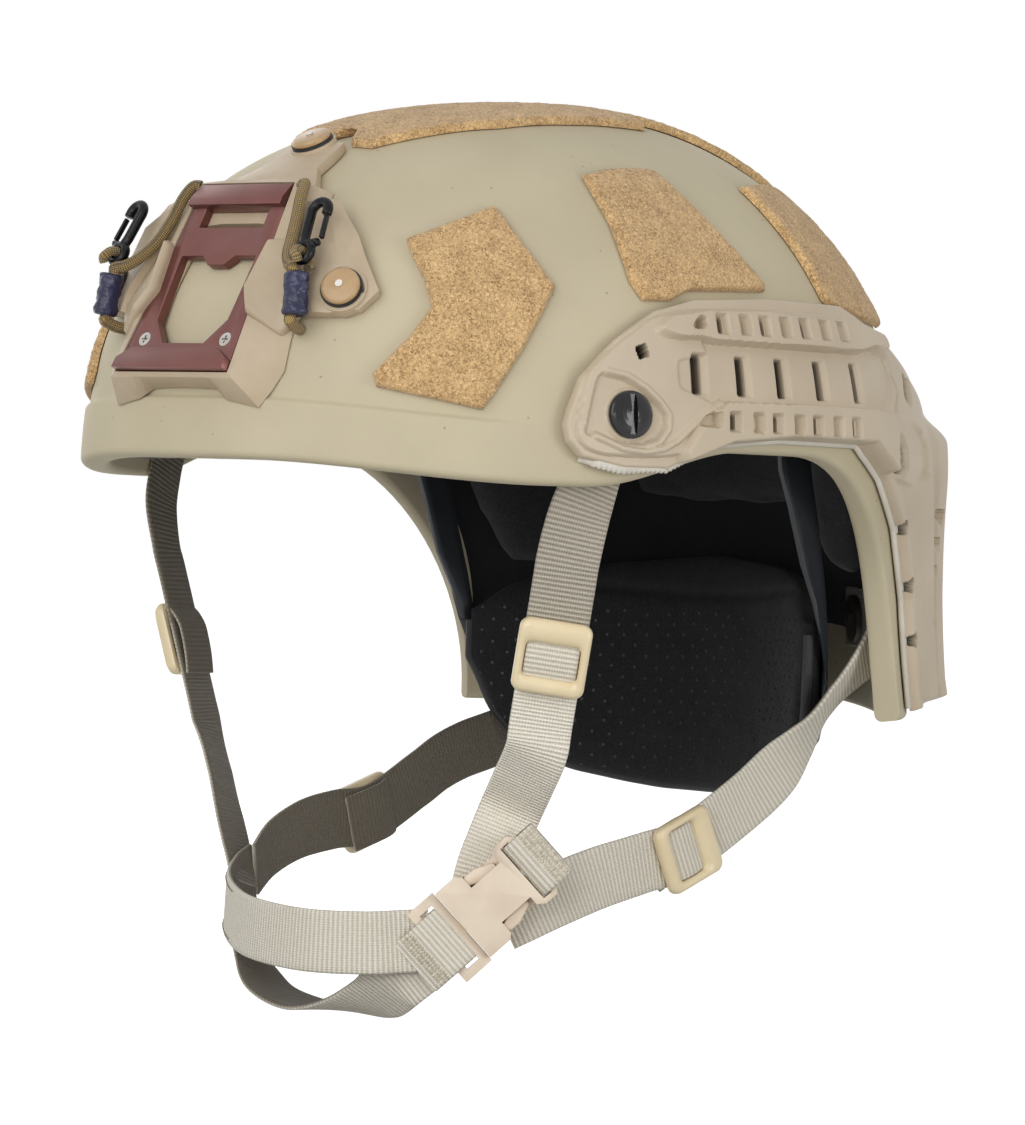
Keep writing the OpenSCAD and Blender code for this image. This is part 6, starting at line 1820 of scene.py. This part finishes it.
@dataclass
class NapePad:
    """The nape cushion: spacer mesh over foam, with a sewn channel, a bound edge and perforations."""

    half: float = 74.5
    thick: float = 12.0
    low: Rows = ((0, -99.3), (20, -98.8), (32, -97.3), (48, -94.2), (58, -89.8), (67, -80), (71.5, -70), (74.5, -56))
    top: Rows = ((0, -24), (37, -27.5), (58, -32), (69, -38), (74.5, -46))
    seam: float = -37.0
    seam_deep: float = 1.6
    bend: float = 0.00694
    binding: float = 1.7
    hole: float = 0.5

    def middle(self, x: Grid, off: Grid) -> Grid:
        """Place on the nape's middle surface, and a distance towards the head."""
        slope = -2 * self.bend * x
        n = np.stack([slope, -np.ones_like(x)], -1) / np.sqrt(1 + slope**2)[..., None]
        return np.stack([x, 100 - self.bend * x * x], -1) + n * off[..., None]

    def side(self, toward: float) -> Grid:
        """One face of the cushion, row by row from the top down."""
        x = -np.cos(np.linspace(0, np.pi, 110)) * self.half
        u = (1 - np.cos(np.linspace(0, np.pi, 64))) / 2
        top = eased_table(self.top, np.abs(x), 8)
        low = eased_table(self.low, np.abs(x), 6)
        uu, xx = np.meshgrid(u, x, indexing="ij")
        z = top[None, :] + (low - top)[None, :] * uu
        full = (1 - np.abs(2 * uu - 1) ** 5) ** 0.5 * (1 - np.abs(np.clip(xx / self.half, -1, 1)) ** 7) ** 0.5
        off = toward * (self.thick / 2) * (0.18 + 0.82 * full)
        if toward > 0:
            off = off - self.seam_deep * np.exp(-((z - self.seam - 0.0009 * xx**2) / 1.5) ** 2) * full
            grid = np.stack([xx, 0 * xx, z], -1)
            off = off + (0.35 * ruffle(grid, 22.0, 31) + 0.12 * ruffle(grid, 7.0, 32)) * full
        return np.concatenate([self.middle(xx, off), z[..., None]], -1)

    def build(self) -> None:
        """Makes the cushion, its binding and its perforations."""
        front, back = self.side(1.0), self.side(-1.0)
        points, faces = backed(front[:, ::-1], back[:, ::-1], 1)
        made = outward(make_piece("nape_cushion", points, faces, SPACER_MESH, 70))
        mount(made, "cradle", "nape_pad")
        middle = (front + back) / 2
        edge = np.concatenate([middle[20:-1, 0], middle[-1], middle[20:-1, -1][::-1]])
        run = run_lengths(edge)
        path = np.stack([np.interp(np.linspace(0, run[-1], 260), run, edge[:, k]) for k in range(3)], -1)
        points, faces, _ = tube(path, self.binding, 10)
        mount(outward(make_piece("nape_binding", points, faces, BINDING, 60)), "cradle")
        spots, axes = self.holes(front)
        # Each perforation is a small near-black disc: painted shade in the hole, with a glossy edge.
        mount(repeated("nape_perforations", spots, axes, HOLE_SHADE_AND_EDGE, self.hole, 0.3, 7), "cradle")

    def holes(self, front: Grid) -> tuple[Grid, Grid]:
        """Places and axes of the perforations, in offset rows on the face towards the head."""
        spots, axes = [], []
        for i, z in enumerate(np.arange(-94, -40, 3.6)):
            for x in np.arange(-70 + (i % 2) * 3.4, 70, 6.8):
                d = (front[..., 0] - x) ** 2 + (front[..., 2] - z) ** 2
                a, b = np.unravel_index(d.argmin(), d.shape)
                if d[a, b] < 4 and 3 < a < 60 and 4 < b < 105:
                    spots.append(front[a, b] + [0, 0.05, 0])
                    axes.append((-2 * self.bend * x, -1.0, 0.0))
        return np.array(spots), np.array(axes)


CARRIED = {"rail_bolts": BLACK_ENAMEL, "rail_nuts": DARK_ZINC, "insert_screws": STEEL,
           "shroud_washers": BLACK_RUBBER, "shroud_nuts": DARK_ZINC, "dial_pinion": PINION_NYLON}


def seen(tree: Tree) -> Socket:
    """1 for rays that the eye follows: to the camera, in gloss and through glass; 0 for light on the object."""
    rays = add_node(tree, "ShaderNodeLightPath").outputs
    direct = maths(tree, "MAXIMUM", rays["Is Camera Ray"], rays["Is Glossy Ray"])
    return maths(tree, "MAXIMUM", direct, rays["Is Transmission Ray"])


# --- studio


@dataclass
class Studio:
    """Camera, floor, white surroundings and soft lights."""

    eye: tuple[float, float, float] = (1446.32, -1460.41, -22.48)
    right: tuple[float, float, float] = (0.71108, 0.70228, 0.03418)
    up: tuple[float, float, float] = (-0.02636, -0.02195, 0.99941)
    back: tuple[float, float, float] = (0.70262, -0.71156, 0.00290)
    lens: float = 209.85
    floor_level: float = -176.5
    floor_half: float = 30000.0

    def build(self) -> None:
        """Makes the camera, the floor, the world and the lights."""
        self.camera()
        self.floor()
        self.world()
        r, u, b = (np.array(v) for v in (self.right, self.up, self.back))
        lamps = (
            ("key", -0.65 * r + 0.55 * u + 1.0 * b, 1.6, 8.6, 1.2),
            ("fill", 0.9 * r + 0.03 * u + 0.8 * b, 1.0, 2.0, 0.34),
            ("low", -0.25 * r + 0.04 * u + 1.0 * b, 1.0, 1.6, 0.36),
            ("rear", -0.3 * r + 0.25 * u - 1.0 * b, 1.6, 6.0, 1.3),
        )
        for name, way, far, power, size in lamps:
            self.lamp(name, unit(way) * far, power, size)

    def camera(self) -> None:
        """Makes the camera at the photograph's place."""
        data = bpy.data.cameras.new("Camera")
        data.sensor_width = 36.0
        data.sensor_fit = "AUTO"
        data.lens = self.lens
        data.clip_start, data.clip_end = 0.05, 50.0
        camera = added("Camera", data)
        turn = Matrix([self.right, self.up, self.back]).transposed().to_4x4()
        camera.matrix_world = Matrix.Translation(Vector(self.eye) * MM) @ turn
        bpy.context.scene.camera = camera

    def floor(self) -> None:
        """Makes the pale floor."""
        s, z = self.floor_half, self.floor_level
        floor = make_piece("floor", [(-s, -s, z), (s, -s, z), (s, s, z), (-s, s, z)], [(0, 1, 2, 3)])
        made = bpy.data.materials.new("pale floor")
        made.use_nodes = True
        tree = made.node_tree
        fill(tree, tree.nodes["Principled BSDF"],
             {"Roughness": 0.9, "Base Color": linear("#b4b4b2"), "Emission Color": linear("#ffffff"),
              "Emission Strength": maths(tree, "MULTIPLY", seen(tree), 0.82)})
        floor.data.materials.append(made)

    def world(self) -> None:
        """Makes the surroundings: white to the eye, soft light on the object."""
        world = bpy.data.worlds.new("surroundings")
        bpy.context.scene.world = world
        world.use_nodes = True
        tree = world.node_tree
        tree.nodes.clear()
        soft, white = (add_node(tree, "ShaderNodeBackground", {"Color": linear("#ffffff"), "Strength": strength})
                       for strength in (0.5, 1.0))
        both = add_node(tree, "ShaderNodeMixShader", {0: seen(tree), 1: soft.outputs[0], 2: white.outputs[0]})
        add_node(tree, "ShaderNodeOutputWorld", {"Surface": both.outputs[0]})

    def lamp(self, name: str, place: Grid, power: float, size: float) -> None:
        """Adds a soft area lamp that looks at the helmet's middle.

        Args:
            name: its name.
            place: where it is, in metres.
            power: its power in watts.
            size: its width in metres.
        """
        data = bpy.data.lights.new(name, "AREA")
        data.energy = power
        data.shape = "SQUARE"
        data.size = size
        lamp = added(name, data)
        aim = Vector((0.0, 0.0, -0.03)) - Vector(place)
        lamp.matrix_world = Matrix.Translation(Vector(place)) @ aim.to_track_quat("-Z", "Y").to_matrix().to_4x4()


MOULDINGS = (
    Moulding("shroud_base", "helmet", "shroud_plastic", SHROUD_NYLON, 0.9, 3),
    Moulding("shroud_insert", "helmet", "shroud_insert", ANODISED),
    Moulding("shroud_screws", "helmet", "tan_screw", TAN_ENAMEL, 0.3),
    Moulding("buckle_socket", "helmet", "buckle_plastic", BUCKLE_ACETAL, 0.55, 3),
    *(Moulding(f"buckle_{body}", body, "buckle_plastic", BUCKLE_ACETAL, 0.5, 3)
      for body in ("plug", "prong_upper", "prong_lower")),
    Moulding("cradle_yoke", "cradle", "fit_plastic", FIT_NYLON, 0.7),
    Moulding("cradle_hangers", "helmet", "fit_plastic", FIT_NYLON, 0.5),
    Moulding("cradle_pins", "helmet", "pivot_pin", PIN_NYLON, 0.3),
    Moulding("dial_housing", "cradle", "fit_plastic", FIT_NYLON, 0.7, 3),
    Moulding("dial_knob", "dial", "fit_plastic", FIT_NYLON, 0.5),
    *(Moulding(f"clip_gate_{side.word}", f"gate_{side.word}", "clip_plastic", BLACK_ACETAL, 0.3) for side in Side),
    Moulding("hook_patches", "helmet", "pad_fabric", HOOK_TAPE, 0.3),
)

PADS = (Pad("front_pad", lower=5.0), Pad("crown_pad"), *(Pad(f"side_pad_{side.word}") for side in Side),
        *(Pad(f"rear_side_pad_{side.word}") for side in Side), Pad("rear_pad"))


def main() -> None:
    """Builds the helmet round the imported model, piece by piece."""
    logging.basicConfig(level=logging.INFO, format="%(name)s: %(message)s")
    bpy.context.scene.view_settings.view_transform = "Standard"
    Studio().build()
    makers = (*map(Lanyard, Side), Shell(), *map(Rail, Side), *map(RailStrip, Side), LoopFields(), Harness(),
              ScrewPins(), *map(ShroudFin, Side), *MOULDINGS, *PADS, NapePad())
    for maker in makers:
        maker.build()
        LOG.info("%s made", getattr(maker, "node", type(maker).__name__))
    for node, finish in CARRIED.items():
        dress(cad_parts[node], finish)


if __name__ == "__main__":
    main()
